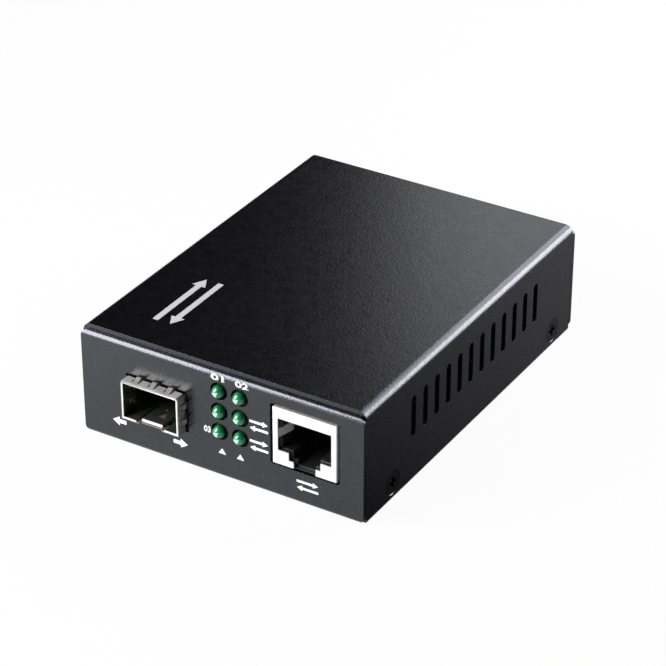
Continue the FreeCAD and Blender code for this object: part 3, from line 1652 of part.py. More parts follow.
def check_and_write():
    """Stop on any failed object or shape, then write one STEP file for each sub-part."""
    doc.recompute()
    for thing in doc.Objects:
        if "Invalid" in thing.State or "Error" in thing.State:
            raise RuntimeError(f"{thing.Name} failed: {thing.State}")
    os.makedirs("parts", exist_ok=True)
    for thing in sub_parts:
        if thing.Shape.isNull() or not thing.Shape.isValid():
            raise RuntimeError(f"{thing.Label} has no valid shape")
        thing.Shape.exportStep(f"parts/{thing.Label}.step")
        print(thing.Label, len(thing.Shape.Solids), round(thing.Shape.Volume, 2))


make_base_tray()
make_top_cover()
make_cover_screws()
make_board_standoffs()
make_board_screws()
make_sfp_cage_shell()
make_sfp_cage_floor()
make_sfp_spring_collar()
make_sfp_connector()
make_sfp_contacts()
make_rj45_shield()
make_rj45_insert()
make_rj45_contacts()
for lamp, (across, up) in lamp_places().items():
    make_lamp(lamp, across, up)
make_lamp_holder("led_holder_left", "led_left")
make_lamp_holder("led_holder_right", "(led_left + led_column)")
make_lamp_leads()
make_dc_jack()
make_board_parts()
make_circuit_board()
check_and_write()
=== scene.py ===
"""Finishes, printed marks and studio for a small desktop fibre media converter.

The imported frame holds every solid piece. This script softens the edges that coating and
plating round off, gives each piece its finish, adds the screen-printed marks, and sets the
floor, lamps and camera round it. Lengths are metres in the frame's own axes: +Z up, and -Y
the way the front panel faces.
"""

from __future__ import annotations

import logging
import math
from collections.abc import Callable, Iterable
from dataclasses import dataclass, replace
from enum import Enum

import bmesh
import bpy
from mathutils import Matrix, Vector

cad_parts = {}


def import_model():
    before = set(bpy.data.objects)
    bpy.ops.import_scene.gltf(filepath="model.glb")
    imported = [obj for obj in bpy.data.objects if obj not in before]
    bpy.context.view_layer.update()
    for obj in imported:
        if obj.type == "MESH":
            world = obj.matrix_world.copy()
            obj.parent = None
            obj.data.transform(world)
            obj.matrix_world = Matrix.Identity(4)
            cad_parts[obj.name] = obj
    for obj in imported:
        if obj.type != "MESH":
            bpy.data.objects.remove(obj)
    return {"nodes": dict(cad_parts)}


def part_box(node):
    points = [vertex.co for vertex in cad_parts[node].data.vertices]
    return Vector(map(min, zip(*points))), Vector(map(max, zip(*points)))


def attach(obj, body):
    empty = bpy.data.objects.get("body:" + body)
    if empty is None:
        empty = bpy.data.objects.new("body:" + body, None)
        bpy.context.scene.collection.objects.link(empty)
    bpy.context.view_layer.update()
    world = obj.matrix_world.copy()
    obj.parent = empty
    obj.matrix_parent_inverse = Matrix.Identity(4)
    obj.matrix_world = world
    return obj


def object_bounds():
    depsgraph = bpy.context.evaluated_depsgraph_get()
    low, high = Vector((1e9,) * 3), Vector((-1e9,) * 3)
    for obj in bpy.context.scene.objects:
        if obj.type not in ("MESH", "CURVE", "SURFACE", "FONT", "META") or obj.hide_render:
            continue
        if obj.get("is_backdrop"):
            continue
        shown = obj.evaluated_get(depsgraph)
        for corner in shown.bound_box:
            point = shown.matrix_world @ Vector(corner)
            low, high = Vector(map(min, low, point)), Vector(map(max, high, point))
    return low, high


log = logging.getLogger("media_converter")
Colour = tuple[float, float, float]
Point = tuple[float, float]
MM = 0.001
BODY = "root"


# Shader trees and the effects that several finishes share


class Socket(Enum):
    """The kinds of socket a shared effect has."""

    NUMBER = "NodeSocketFloat"
    PLACE = "NodeSocketVector"


class ShaderTree:
    """A node tree while it is being filled in."""

    def __init__(self, tree: bpy.types.NodeTree) -> None:
        """Takes over an empty node tree.

        Args:
            tree: the material's, world's or group's own node tree.
        """
        self.tree = tree

    def add(self, kind: str, **values: object) -> bpy.types.Node:
        """Adds a node.

        Args:
            kind: the node's Blender type.
            values: settings of the node, or inputs of it, by name with _ for a space.

        Returns:
            The new node.
        """
        node = self.tree.nodes.new(kind)
        for name, value in values.items():
            if hasattr(node, name):
                setattr(node, name, value)
            else:
                self.feed(node, name.replace("_", " "), value)
        return node

    def feed(self, node: bpy.types.Node, name: str | int, value: object) -> None:
        """Sets one input of a node, or joins another node's output to it.

        Args:
            node: the node that is fed.
            name: the input's name or number.
            value: a plain value, or the output socket to join.
        """
        if isinstance(value, bpy.types.NodeSocket):
            self.tree.links.new(value, node.inputs[name])
        else:
            node.inputs[name].default_value = value

    def math(
        self, operation: str, first: object, second: object = 0.0, clamp: bool = False
    ) -> bpy.types.NodeSocket:
        """Works out one number from two.

        Args:
            operation: the Math node's operation.
            first: the first number or socket.
            second: the second number or socket.
            clamp: whether the result is held between 0 and 1.

        Returns:
            The socket that holds the result.
        """
        node = self.add("ShaderNodeMath", operation=operation, use_clamp=clamp)
        self.feed(node, 0, first)
        self.feed(node, 1, second)
        return node.outputs[0]

    def spread(
        self, value: object, low: float, high: float, to_low: float, to_high: float
    ) -> bpy.types.NodeSocket:
        """Maps a number from one range to another, held at both ends.

        Args:
            value: the number or socket to map.
            low: where the range starts.
            high: where the range ends.
            to_low: what the start becomes.
            to_high: what the end becomes.

        Returns:
            The socket that holds the result.
        """
        node = self.add("ShaderNodeMapRange", clamp=True)
        for index, item in enumerate((value, low, high, to_low, to_high)):
            self.feed(node, index, item)
        return node.outputs[0]

    def between(self, value: object, low: float, high: float) -> bpy.types.NodeSocket:
        """Tells whether a number lies between two others.

        Args:
            value: the number or socket to look at.
            low: where the range starts.
            high: where the range ends.

        Returns:
            The socket that holds 1 inside the range and 0 outside it.
        """
        node = self.add("ShaderNodeMath", operation="COMPARE")
        for index, item in enumerate((value, (low + high) / 2, (high - low) / 2)):
            self.feed(node, index, item)
        return node.outputs[0]

    def blend(self, share: object, first: object, second: object) -> bpy.types.NodeSocket:
        """Mixes two colours.

        Args:
            share: how much of the second colour shows.
            first: a colour or a socket.
            second: a colour or a socket.

        Returns:
            The socket that holds the mixed colour.
        """
        node = self.add("ShaderNodeMix", data_type="RGBA")
        for index, item in ((0, share), (6, first), (7, second)):
            self.feed(node, index, rgba(item) if isinstance(item, tuple) else item)
        return node.outputs[2]


def rgba(colour: Colour) -> tuple[float, float, float, float]:
    """Adds full opacity to a colour."""
    return (*colour, 1.0)


def shaded(colour: Colour, amount: float) -> Colour:
    """Scales a colour's lightness.

    Args:
        colour: the colour to change.
        amount: what each channel is multiplied by.

    Returns:
        The new colour, with no channel above 1.
    """
    return tuple(min(1.0, channel * amount) for channel in colour)


class Effects:
    """Shader groups that the finishes share. Each is built once, when it is first placed."""

    def __init__(self) -> None:
        """Starts with no group built."""
        self.built: dict[str, bpy.types.ShaderNodeTree] = {}

    def place(self, sheet: ShaderTree, maker: Callable[..., None], **values: object) -> bpy.types.Node:
        """Places a shared effect in a material.

        Args:
            sheet: the material's tree.
            maker: the method that fills the group in.
            values: the group's inputs for this material, by name with _ for a space.

        Returns:
            The group node.
        """
        name = maker.__name__
        if name not in self.built:
            self.built[name] = bpy.data.node_groups.new(name, "ShaderNodeTree")
            maker(self.built[name])
        node = sheet.add("ShaderNodeGroup", node_tree=self.built[name])
        for title, value in values.items():
            sheet.feed(node, title.replace("_", " "), value)
        return node

    @staticmethod
    def sockets(
        group: bpy.types.ShaderNodeTree, takes: dict[str, Socket], gives: Iterable[str]
    ) -> tuple[ShaderTree, dict[str, bpy.types.NodeSocket], bpy.types.Node]:
        """Gives a group its inputs and outputs.

        Args:
            group: the empty group.
            takes: each input's name and kind.
            gives: each output's name; all are numbers.

        Returns:
            The group's tree, its inputs by name, and its output node.
        """
        for name, kind in takes.items():
            group.interface.new_socket(name=name, in_out="INPUT", socket_type=kind.value)
        for name in gives:
            group.interface.new_socket(name=name, in_out="OUTPUT", socket_type=Socket.NUMBER.value)
        sheet = ShaderTree(group)
        inside = sheet.add("NodeGroupInput")
        return sheet, {name: inside.outputs[name] for name in takes}, sheet.add("NodeGroupOutput")

    @staticmethod
    def pebble_grain(group: bpy.types.ShaderNodeTree) -> None:
        """Fills in the pebbled skin of a textured coat or a spark-eroded mould.

        Args:
            group: the group to fill; Place in metres, Size is one pebble across.
        """
        takes = {"Place": Socket.PLACE, "Size": Socket.NUMBER}
        sheet, given, out = Effects.sockets(group, takes, ("Height", "Tone", "Gloss"))
        pitch = sheet.math("DIVIDE", 1.0, given["Size"])
        cells = sheet.add("ShaderNodeTexVoronoi", feature="SMOOTH_F1", Vector=given["Place"])
        sheet.feed(cells, "Scale", pitch)
        sheet.feed(cells, "Smoothness", 0.6)
        fine = sheet.add("ShaderNodeTexNoise", Vector=given["Place"], Detail=1.0, Roughness=0.5)
        sheet.feed(fine, "Scale", sheet.math("MULTIPLY", pitch, 1.1))
        wide = sheet.add("ShaderNodeTexNoise", Vector=given["Place"], Detail=1.0)
        sheet.feed(wide, "Scale", sheet.math("MULTIPLY", pitch, 0.23))
        domes = sheet.spread(cells.outputs["Distance"], 0.1, 0.75, 1.0, 0.0)
        speckle = sheet.spread(fine.outputs["Fac"], 0.3, 0.7, 0.0, 1.0)
        swell = sheet.spread(wide.outputs["Fac"], 0.3, 0.7, 0.0, 1.0)
        height = sheet.math("MULTIPLY", sheet.math("ADD", domes, speckle), 0.5)
        sheet.feed(out, "Height", sheet.math("ADD", height, sheet.math("MULTIPLY", swell, 0.35)))
        sheet.feed(out, "Tone", speckle)
        sheet.feed(out, "Gloss", sheet.math("MULTIPLY", domes, swell, clamp=True))

    @staticmethod
    def rolled_lines(group: bpy.types.ShaderNodeTree) -> None:
        """Fills in the fine lines that rolling and stamping leave in thin sheet.

        Args:
            group: the group to fill; Place in metres, Size is the gap between lines, and Run
                is how the place is stretched along each axis.
        """
        takes = {"Place": Socket.PLACE, "Size": Socket.NUMBER, "Run": Socket.PLACE}
        sheet, given, out = Effects.sockets(group, takes, ("Height", "Tone", "Gloss"))
        along = sheet.add("ShaderNodeVectorMath", operation="MULTIPLY")
        sheet.feed(along, 0, given["Place"])
        sheet.feed(along, 1, given["Run"])
        pitch = sheet.math("DIVIDE", 1.0, given["Size"])
        lines = sheet.add("ShaderNodeTexNoise", Vector=along.outputs[0], Scale=pitch, Detail=3.0)
        sheet.feed(lines, "Roughness", 0.6)
        smear = sheet.add("ShaderNodeTexNoise", Vector=given["Place"], Detail=2.0)
        sheet.feed(smear, "Scale", sheet.math("MULTIPLY", pitch, 0.08))
        drawn = sheet.spread(lines.outputs["Fac"], 0.3, 0.7, 0.0, 1.0)
        sheet.feed(out, "Height", drawn)
        sheet.feed(out, "Tone", sheet.spread(smear.outputs["Fac"], 0.35, 0.65, 0.0, 1.0))
        sheet.feed(out, "Gloss", sheet.math("MULTIPLY", drawn, smear.outputs["Fac"], clamp=True))

    @staticmethod
    def slow_drift(group: bpy.types.ShaderNodeTree) -> None:
        """Fills in the slow change of tone that handling and uneven curing leave.

        Args:
            group: the group to fill; Place in metres, Size is one patch across.
        """
        takes = {"Place": Socket.PLACE, "Size": Socket.NUMBER}
        sheet, given, out = Effects.sockets(group, takes, ("Patch", "Speck"))
        pitch = sheet.math("DIVIDE", 1.0, given["Size"])
        patch = sheet.add("ShaderNodeTexNoise", Vector=given["Place"], Scale=pitch, Detail=3.0)
        specks = sheet.add("ShaderNodeTexVoronoi", feature="F1", Vector=given["Place"])
        sheet.feed(specks, "Scale", sheet.math("MULTIPLY", pitch, 6.0))
        sheet.feed(out, "Patch", sheet.spread(patch.outputs["Fac"], 0.35, 0.65, 0.0, 1.0))
        sheet.feed(out, "Speck", sheet.spread(specks.outputs["Distance"], 0.05, 0.12, 1.0, 0.0))


EFFECTS = Effects()


# Finishes


@dataclass(frozen=True)
class Finish:
    """What every finish has: a name, a colour and how rough its skin is."""

    name: str
    colour: Colour
    roughness: float

    def material(self) -> bpy.types.Material:
        """Makes this finish's material, or hands back the one already made."""
        made = bpy.data.materials.get(self.name)
        if made is None:
            made = bpy.data.materials.new(self.name)
            made.use_nodes = True
            made.diffuse_color = rgba(self.colour)
            made.node_tree.nodes.clear()
            sheet = ShaderTree(made.node_tree)
            skin = sheet.add("ShaderNodeBsdfPrincipled", Base_Color=rgba(self.colour))
            sheet.feed(skin, "Roughness", self.roughness)
            place = sheet.add("ShaderNodeTexCoord").outputs["Object"]
            self.work(sheet, skin, place)
            sheet.add("ShaderNodeOutputMaterial", Surface=skin.outputs[0])
        return made

    def work(self, sheet: ShaderTree, skin: bpy.types.Node, place: bpy.types.NodeSocket) -> None:
        """Adds the finish's own detail.

        Args:
            sheet: the material's tree.
            skin: its Principled shader.
            place: the point on the surface, in metres.
        """
        raise NotImplementedError

    @staticmethod
    def raise_skin(
        sheet: ShaderTree, skin: bpy.types.Node, height: bpy.types.NodeSocket, depth: float
    ) -> None:
        """Gives the skin its relief.

        Args:
            sheet: the material's tree.
            skin: its Principled shader.
            height: the relief, 0 to about 1.
            depth: how deep the relief is, in metres.
        """
        bump = sheet.add("ShaderNodeBump", Height=height, Distance=depth, Strength=1.0)
        sheet.feed(skin, "Normal", bump.outputs[0])

    def gloss(
        self, sheet: ShaderTree, skin: bpy.types.Node, mask: bpy.types.NodeSocket, low: float, high: float
    ) -> None:
        """Varies the roughness about the finish's own.

        Args:
            sheet: the material's tree.
            skin: its Principled shader.
            mask: where between the two ends each point lies, 0 to 1.
            low: what is added to the roughness where the mask is 0.
            high: what is added to it where the mask is 1.
        """
        rough = sheet.spread(mask, 0.0, 1.0, self.roughness + low, self.roughness + high)
        sheet.feed(skin, "Roughness", rough)


@dataclass(frozen=True)
class TexturedCoat(Finish):
    """Baked powder coat with a fine pebbled skin."""

    pebble: float = 0.55 * MM
    depth: float = 0.018 * MM
    contrast: float = 0.6
    index: float = 1.8
    tint: Colour = (0.86, 0.88, 1.0)
    patch: float = 14 * MM

    def work(self, sheet: ShaderTree, skin: bpy.types.Node, place: bpy.types.NodeSocket) -> None:
        """Adds pebbles, uneven gloss and a slow drift of tone."""
        skin.inputs["IOR"].default_value = self.index
        skin.inputs["Specular Tint"].default_value = rgba(self.tint)
        grain = EFFECTS.place(sheet, Effects.pebble_grain, Place=place, Size=self.pebble)
        drift = EFFECTS.place(sheet, Effects.slow_drift, Place=place, Size=self.patch)
        dark, light = shaded(self.colour, 1 - self.contrast), shaded(self.colour, 1 + self.contrast)
        tone = sheet.blend(grain.outputs["Tone"], dark, light)
        share = sheet.math("MULTIPLY", drift.outputs["Patch"], 0.3)
        sheet.feed(skin, "Base Color", sheet.blend(share, tone, self.colour))
        self.gloss(sheet, skin, grain.outputs["Gloss"], 0.05, -0.05)
        self.raise_skin(sheet, skin, grain.outputs["Height"], self.depth)


@dataclass(frozen=True)
class PlatedSheet(Finish):
    """Thin stamped sheet or wire with a metal plating.

    Faces nearer the front than a given depth get a painted highlight, near-white, along the rim.
    Faces inside a hollow, given by its left, right, lowest and highest limits, get painted shade.
    """

    line_gap: float = 0.05 * MM
    run: tuple[float, float, float] = (1.0, 0.06, 1.0)
    depth: float = 0.0006 * MM
    tarnish: float = 0.15
    metal: float = 1.0
    patch: float = 2.5 * MM
    rim_highlight_before: float = -1.0
    rim_highlight_colour: Colour = (0.96, 0.96, 0.95)
    rim_highlight_metal: float = 0.2
    shaded_hollow: tuple[float, float, float, float] = (0.0, 0.0, 0.0, 0.0)
    hollow_shade: float = 0.3

    def work(self, sheet: ShaderTree, skin: bpy.types.Node, place: bpy.types.NodeSocket) -> None:
        """Adds rolling lines, dull patches, small dark specks, painted shade in the hollow and a painted
        highlight on the rim.
        """
        lines = EFFECTS.place(sheet, Effects.rolled_lines, Place=place, Size=self.line_gap, Run=self.run)
        drift = EFFECTS.place(sheet, Effects.slow_drift, Place=place, Size=self.patch)
        dull = sheet.math("MULTIPLY", drift.outputs["Patch"], self.tarnish)
        worn = sheet.blend(dull, self.colour, shaded(self.colour, 0.45))
        spots = sheet.math("MULTIPLY", drift.outputs["Speck"], self.tarnish * 0.6)
        plated = sheet.blend(spots, worn, shaded(self.colour, 0.35))
        parts = sheet.add("ShaderNodeSeparateXYZ", Vector=place)
        left, right, low, high = self.shaded_hollow
        within = [
            sheet.between(parts.outputs[axis], start, end)
            for axis, start, end in (("X", left, right), ("Z", low, high))
        ]
        # painted shade: faces inside the hollow are darkened
        painted_hollow_shade = shaded(self.colour, self.hollow_shade)
        inside = sheet.blend(sheet.math("MULTIPLY", *within), plated, painted_hollow_shade)
        # painted highlight: the front rim is painted near-white and less metallic
        rim_highlight = sheet.math("LESS_THAN", parts.outputs["Y"], self.rim_highlight_before)
        sheet.feed(skin, "Base Color", sheet.blend(rim_highlight, inside, self.rim_highlight_colour))
        rim_highlight_metal = min(self.metal, self.rim_highlight_metal)
        sheet.feed(skin, "Metallic", sheet.spread(rim_highlight, 0.0, 1.0, self.metal, rim_highlight_metal))
        self.gloss(sheet, skin, lines.outputs["Gloss"], 0.06, -0.04)
        self.raise_skin(sheet, skin, lines.outputs["Height"], self.depth)


@dataclass(frozen=True)
class MouldedPart(Finish):
    """Moulded plastic, resin, fired ceramic or pressed ferrite."""

    pebble: float = 0.12 * MM
    depth: float = 0.002 * MM
    contrast: float = 0.12
    gloss_coat: float = 0.0
    coat_roughness: float = 0.12
    patch: float = 3 * MM

    def work(self, sheet: ShaderTree, skin: bpy.types.Node, place: bpy.types.NodeSocket) -> None:
        """Adds mould grain, uneven gloss and a slow drift of tone."""
        skin.inputs["Coat Weight"].default_value = self.gloss_coat
        skin.inputs["Coat Roughness"].default_value = self.coat_roughness
        grain = EFFECTS.place(sheet, Effects.pebble_grain, Place=place, Size=self.pebble)
        drift = EFFECTS.place(sheet, Effects.slow_drift, Place=place, Size=self.patch)
        dark, light = shaded(self.colour, 1 - self.contrast), shaded(self.colour, 1 + self.contrast)
        tone = sheet.blend(grain.outputs["Tone"], dark, light)
        share = sheet.math("MULTIPLY", drift.outputs["Patch"], 0.25)
        sheet.feed(skin, "Base Color", sheet.blend(share, tone, dark))
        self.gloss(sheet, skin, drift.outputs["Patch"], -0.05, 0.05)
        self.raise_skin(sheet, skin, grain.outputs["Height"], self.depth)


@dataclass(frozen=True)
class TintedResin(Finish):
    """Cast, tinted lamp resin with a flame-smooth dome, a painted highlight and painted rim shade.

    The painted highlight is a wedge. Its tip is given in radii from the centre of the lamp.
    """

    centre: Point = (0.0, 0.0)
    radius: float = 1.5 * MM
    painted_highlight: Colour = (0.45, 1.0, 0.74)
    rim_shade: Colour = (0.0, 0.03, 0.01)
    painted_highlight_tip: Point = (0.34, 0.3)
    painted_highlight_turn: float = math.radians(-138)
    coat_roughness: float = 0.04
    patch: float = 1.1 * MM
    depth: float = 0.004 * MM

    def work(self, sheet: ShaderTree, skin: bpy.types.Node, place: bpy.types.NodeSocket) -> None:
        """Adds a painted highlight wedge, painted shade towards the rim and slight clouding."""
        skin.inputs["Coat Weight"].default_value = 1.0
        skin.inputs["Coat Roughness"].default_value = self.coat_roughness
        parts = sheet.add("ShaderNodeSeparateXYZ", Vector=place)
        across, upward = (
            sheet.math("DIVIDE", sheet.math("SUBTRACT", parts.outputs[axis], middle), self.radius)
            for axis, middle in zip(("X", "Z"), self.centre)
        )
        squares = [sheet.math("MULTIPLY", way, way) for way in (across, upward)]
        out = sheet.math("SQRT", sheet.math("ADD", *squares))
        drift = EFFECTS.place(sheet, Effects.slow_drift, Place=place, Size=self.patch)
        body = sheet.blend(drift.outputs["Patch"], self.colour, shaded(self.colour, 1.25))
        # painted shade: the colour darkens towards the dome's rim
        rim_shaded = sheet.blend(sheet.spread(out, 0.78, 1.0, 0.0, 0.7), body, self.rim_shade)
        # painted highlight: a bright wedge low on the left of the lamp
        aside = sheet.math("SUBTRACT", across, self.painted_highlight_tip[0])
        above = sheet.math("SUBTRACT", upward, self.painted_highlight_tip[1])
        turn = sheet.math("SUBTRACT", sheet.math("ARCTAN2", above, aside), self.painted_highlight_turn)
        wedge = sheet.spread(sheet.math("ABSOLUTE", turn), 0.4, 0.55, 1.0, 0.0)
        reach = sheet.spread(out, 0.7, 0.82, 1.0, 0.0)
        sheet.feed(skin, "Base Color", sheet.blend(sheet.math("MULTIPLY", wedge, reach), rim_shaded, self.painted_highlight))
        self.gloss(sheet, skin, drift.outputs["Patch"], 0.0, 0.05)
        self.raise_skin(sheet, skin, drift.outputs["Patch"], self.depth)


@dataclass(frozen=True)
class BoardLaminate(Finish):
    """Glass laminate under solder resist, with tracks and pads showing through."""

    track: Colour = (0.06, 0.3, 0.14)
    track_gap: float = 1.3 * MM
    track_height: float = 0.03 * MM
    via: Colour = (0.75, 0.74, 0.7)
    weave_gap: float = 0.25 * MM
    weave_run: tuple[float, float, float] = (1.0, 0.2, 1.0)
    patch: float = 7 * MM

    def work(self, sheet: ShaderTree, skin: bpy.types.Node, place: bpy.types.NodeSocket) -> None:
        """Adds raised tracks, the weave of the glass cloth and small vias."""
        tracks = sheet.add("ShaderNodeTexBrick", Vector=place, Scale=1.0, offset=0.35, squash=1.4)
        sheet.feed(tracks, "Brick Width", self.track_gap * 3.2)
        sheet.feed(tracks, "Row Height", self.track_gap)
        sheet.feed(tracks, "Mortar Size", self.track_gap * 0.14)
        weave = EFFECTS.place(
            sheet, Effects.rolled_lines, Place=place, Size=self.weave_gap, Run=self.weave_run
        )
        drift = EFFECTS.place(sheet, Effects.slow_drift, Place=place, Size=self.patch)
        resist = sheet.blend(weave.outputs["Height"], self.colour, shaded(self.colour, 1.3))
        tracked = sheet.blend(tracks.outputs["Fac"], resist, self.track)
        sheet.feed(skin, "Base Color", sheet.blend(drift.outputs["Speck"], tracked, self.via))
        self.gloss(sheet, skin, tracks.outputs["Fac"], 0.0, 0.1)
        self.raise_skin(sheet, skin, tracks.outputs["Fac"], self.track_height)


@dataclass(frozen=True)
class ScreenInk(Finish):
    """Screen-printed ink, slightly thin over the tops of the coat's pebbles."""

    thin: float = 0.2
    pebble: float = 0.42 * MM
    depth: float = 0.006 * MM

    def work(self, sheet: ShaderTree, skin: bpy.types.Node, place: bpy.types.NodeSocket) -> None:
        """Adds thin spots and the relief of the coat under the ink."""
        grain = EFFECTS.place(sheet, Effects.pebble_grain, Place=place, Size=self.pebble)
        share = sheet.math("MULTIPLY", grain.outputs["Tone"], self.thin)
        sheet.feed(skin, "Base Color", sheet.blend(share, self.colour, shaded(self.colour, 0.6)))
        self.gloss(sheet, skin, grain.outputs["Gloss"], 0.1, 0.0)
        self.raise_skin(sheet, skin, grain.outputs["Height"], self.depth)


COAT_BLACK = TexturedCoat("coat_black", (0.0025, 0.0025, 0.003), 0.235)
SCREW_BLACK = PlatedSheet("screw_black", (0.05, 0.05, 0.055), 0.3, line_gap=0.09 * MM)
CAGE_STEEL = PlatedSheet("cage_steel", (0.66, 0.65, 0.62), 0.2, tarnish=0.3, metal=0.86)
COLLAR_STEEL = PlatedSheet("collar_steel", (0.50, 0.48, 0.44), 0.3, tarnish=0.5, metal=0.7)
SHIELD_NICKEL = PlatedSheet("shield_nickel", (0.95, 0.95, 0.94), 0.34, tarnish=0.05, metal=0.5)
SOCKET_BLACK = MouldedPart("socket_black", (0.012, 0.012, 0.013), 0.4)
LAMP_GREEN = TintedResin("lamp_green", (0.004, 0.19, 0.065), 0.22)
CONTACT_GOLD = PlatedSheet("contact_gold", (0.83, 0.6, 0.25), 0.2, tarnish=0.1)
LEAD_TIN = PlatedSheet("lead_tin", (0.7, 0.7, 0.69), 0.3, tarnish=0.2)
ZINC_STEEL = PlatedSheet("zinc_steel", (0.62, 0.64, 0.67), 0.28, tarnish=0.25)
BOARD_GREEN = BoardLaminate("board_green", (0.015, 0.12, 0.05), 0.32)
CHIP_BLACK = MouldedPart("chip_black", (0.02, 0.02, 0.021), 0.5, pebble=0.08 * MM)
SLEEVE_BLUE = MouldedPart("sleeve_blue", (0.012, 0.02, 0.07), 0.25, gloss_coat=0.5)
FERRITE_GREY = MouldedPart("ferrite_grey", (0.05, 0.05, 0.052), 0.6, pebble=0.2 * MM, contrast=0.3)
CERAMIC_TAN = MouldedPart("ceramic_tan", (0.42, 0.28, 0.15), 0.45)
INK_WHITE = ScreenInk("ink_white", (0.92, 0.92, 0.92), 0.5)
INK_GREY = ScreenInk("ink_grey", (0.62, 0.62, 0.63), 0.5)


# Work on the frame's own pieces


@dataclass(frozen=True)
class EdgeRound:
    """How a piece's sharp edges are rounded by its coat, plating or mould."""

    width: float
    steps: int = 2
    sharpest: float = math.radians(35)
    flattest: float = math.radians(0.5)
    join: float = 1e-7

    def apply(self, piece: bpy.types.Object) -> None:
        """Adds the modifiers that round a piece's edges.

        Args:
            piece: a piece whose faces meet at sharp edges.
        """
        weld = piece.modifiers.new("join_faces", "WELD")
        weld.merge_threshold = self.join
        flat = piece.modifiers.new("clear_flats", "DECIMATE")
        flat.decimate_type = "DISSOLVE"
        flat.angle_limit = self.flattest
        round_over = piece.modifiers.new("round_over", "BEVEL")
        round_over.width = self.width
        round_over.segments = self.steps
        round_over.limit_method = "ANGLE"
        round_over.angle_limit = self.sharpest
        smooth = piece.modifiers.new("smooth_faces", "NODES")
        smooth.node_group = smooth_faces()
        even = piece.modifiers.new("even_shading", "WEIGHTED_NORMAL")
        even.keep_sharp = False


def smooth_faces() -> bpy.types.GeometryNodeTree:
    """Makes the small geometry group that sets every face smooth, once.

    Returns:
        The geometry group.
    """
    group = bpy.data.node_groups.get("smooth_faces")
    if group is None:
        group = bpy.data.node_groups.new("smooth_faces", "GeometryNodeTree")
        group.interface.new_socket(name="Geometry", in_out="INPUT", socket_type="NodeSocketGeometry")
        group.interface.new_socket(name="Geometry", in_out="OUTPUT", socket_type="NodeSocketGeometry")
        start = group.nodes.new("NodeGroupInput")
        shade = group.nodes.new("GeometryNodeSetShadeSmooth")
        end = group.nodes.new("NodeGroupOutput")
        group.links.new(start.outputs[0], shade.inputs["Geometry"])
        group.links.new(shade.outputs["Geometry"], end.inputs[0])
    return group


@dataclass
class SubAssembly:
    """A group of pieces that are finished together, out of the frame's pieces by name."""

    nodes: dict[str, bpy.types.Object]

    def dress(self, finish: Finish, *names: str, rounded: EdgeRound | None = None) -> None:
        """Gives pieces of the frame their finish.

        Args:
            finish: the finish that they share.
            names: the pieces' names.
            rounded: how their edges are rounded, if they are.
        """
        for name in names:
            piece = self.nodes[name]
            piece.data.materials.clear()
            piece.data.materials.append(finish.material())
            if rounded:
                rounded.apply(piece)
            log.info("%s: %s", name, finish.name)


@dataclass
class Housing(SubAssembly):
    """The folded tray and cover, with the screws that join them."""

    sheet_edge: EdgeRound = EdgeRound(0.26 * MM, steps=3)
    screw_edge: EdgeRound = EdgeRound(0.1 * MM)

    def build(self) -> None:
        """Finishes the housing's pieces."""
        self.dress(COAT_BLACK, "base_tray", "top_cover", rounded=self.sheet_edge)
        self.dress(SCREW_BLACK, "cover_screws", rounded=self.screw_edge)


@dataclass
class ModuleBay(SubAssembly):
    """The cage for a pluggable module, its spring collar and its edge connector."""

    stamped_edge: EdgeRound = EdgeRound(0.05 * MM)
    moulded_edge: EdgeRound = EdgeRound(0.08 * MM)
    # how deep the painted highlight on the cage's front rim reaches
    rim_highlight_depth: float = 0.2 * MM
    # how far in from the sheet the painted shade of the hollow starts
    inner_skin: float = 0.14 * MM

    def build(self) -> None:
        """Finishes the bay's pieces."""
        low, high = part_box("sfp_cage_shell")
        skin = self.inner_skin
        # the cage's hollow gets painted shade, and its front rim gets a painted highlight
        shaded_hollow = (low.x + skin, high.x - skin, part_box("sfp_cage_floor")[0].z + skin, high.z - skin)
        cage = replace(CAGE_STEEL, rim_highlight_before=low.y + self.rim_highlight_depth, shaded_hollow=shaded_hollow)
        self.dress(cage, "sfp_cage_shell", "sfp_cage_floor", rounded=self.stamped_edge)
        self.dress(COLLAR_STEEL, "sfp_spring_collar", rounded=self.stamped_edge)
        self.dress(SOCKET_BLACK, "sfp_connector", rounded=self.moulded_edge)
        self.dress(CONTACT_GOLD, "sfp_contacts")


@dataclass
class NetworkSocket(SubAssembly):
    """The shielded eight-pin socket."""

    stamped_edge: EdgeRound = EdgeRound(0.06 * MM)
    moulded_edge: EdgeRound = EdgeRound(0.08 * MM)

    def build(self) -> None:
        """Finishes the socket's pieces."""
        self.dress(SHIELD_NICKEL, "rj45_shield", rounded=self.stamped_edge)
        self.dress(SOCKET_BLACK, "rj45_insert", rounded=self.moulded_edge)
        self.dress(CONTACT_GOLD, "rj45_contacts")


@dataclass
class LampPanel(SubAssembly):
    """The six lamps with their holders and leads."""

    holder_edge: EdgeRound = EdgeRound(0.08 * MM)

    def build(self) -> None:
        """Finishes the lamps' pieces."""
        lamps = [name for name in self.nodes if name.startswith(("led_left_", "led_right_"))]
        for name in sorted(lamps):
            low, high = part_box(name)
            middle = ((low.x + high.x) / 2, (low.z + high.z) / 2)
            resin = replace(LAMP_GREEN, name=name.replace("led", "lamp_green"), centre=middle)
            self.dress(resin, name)
        self.dress(SOCKET_BLACK, "led_holder_left", "led_holder_right", rounded=self.holder_edge)
        self.dress(LEAD_TIN, "led_leads")


@dataclass
class PowerInlet(SubAssembly):
    """The round power inlet in the rear panel."""

    moulded_edge: EdgeRound = EdgeRound(0.1 * MM)

    def build(self) -> None:
        """Finishes the inlet's pieces."""
        self.dress(SOCKET_BLACK, "dc_jack_body", rounded=self.moulded_edge)
        self.dress(LEAD_TIN, "dc_jack_pin", "dc_jack_spring")


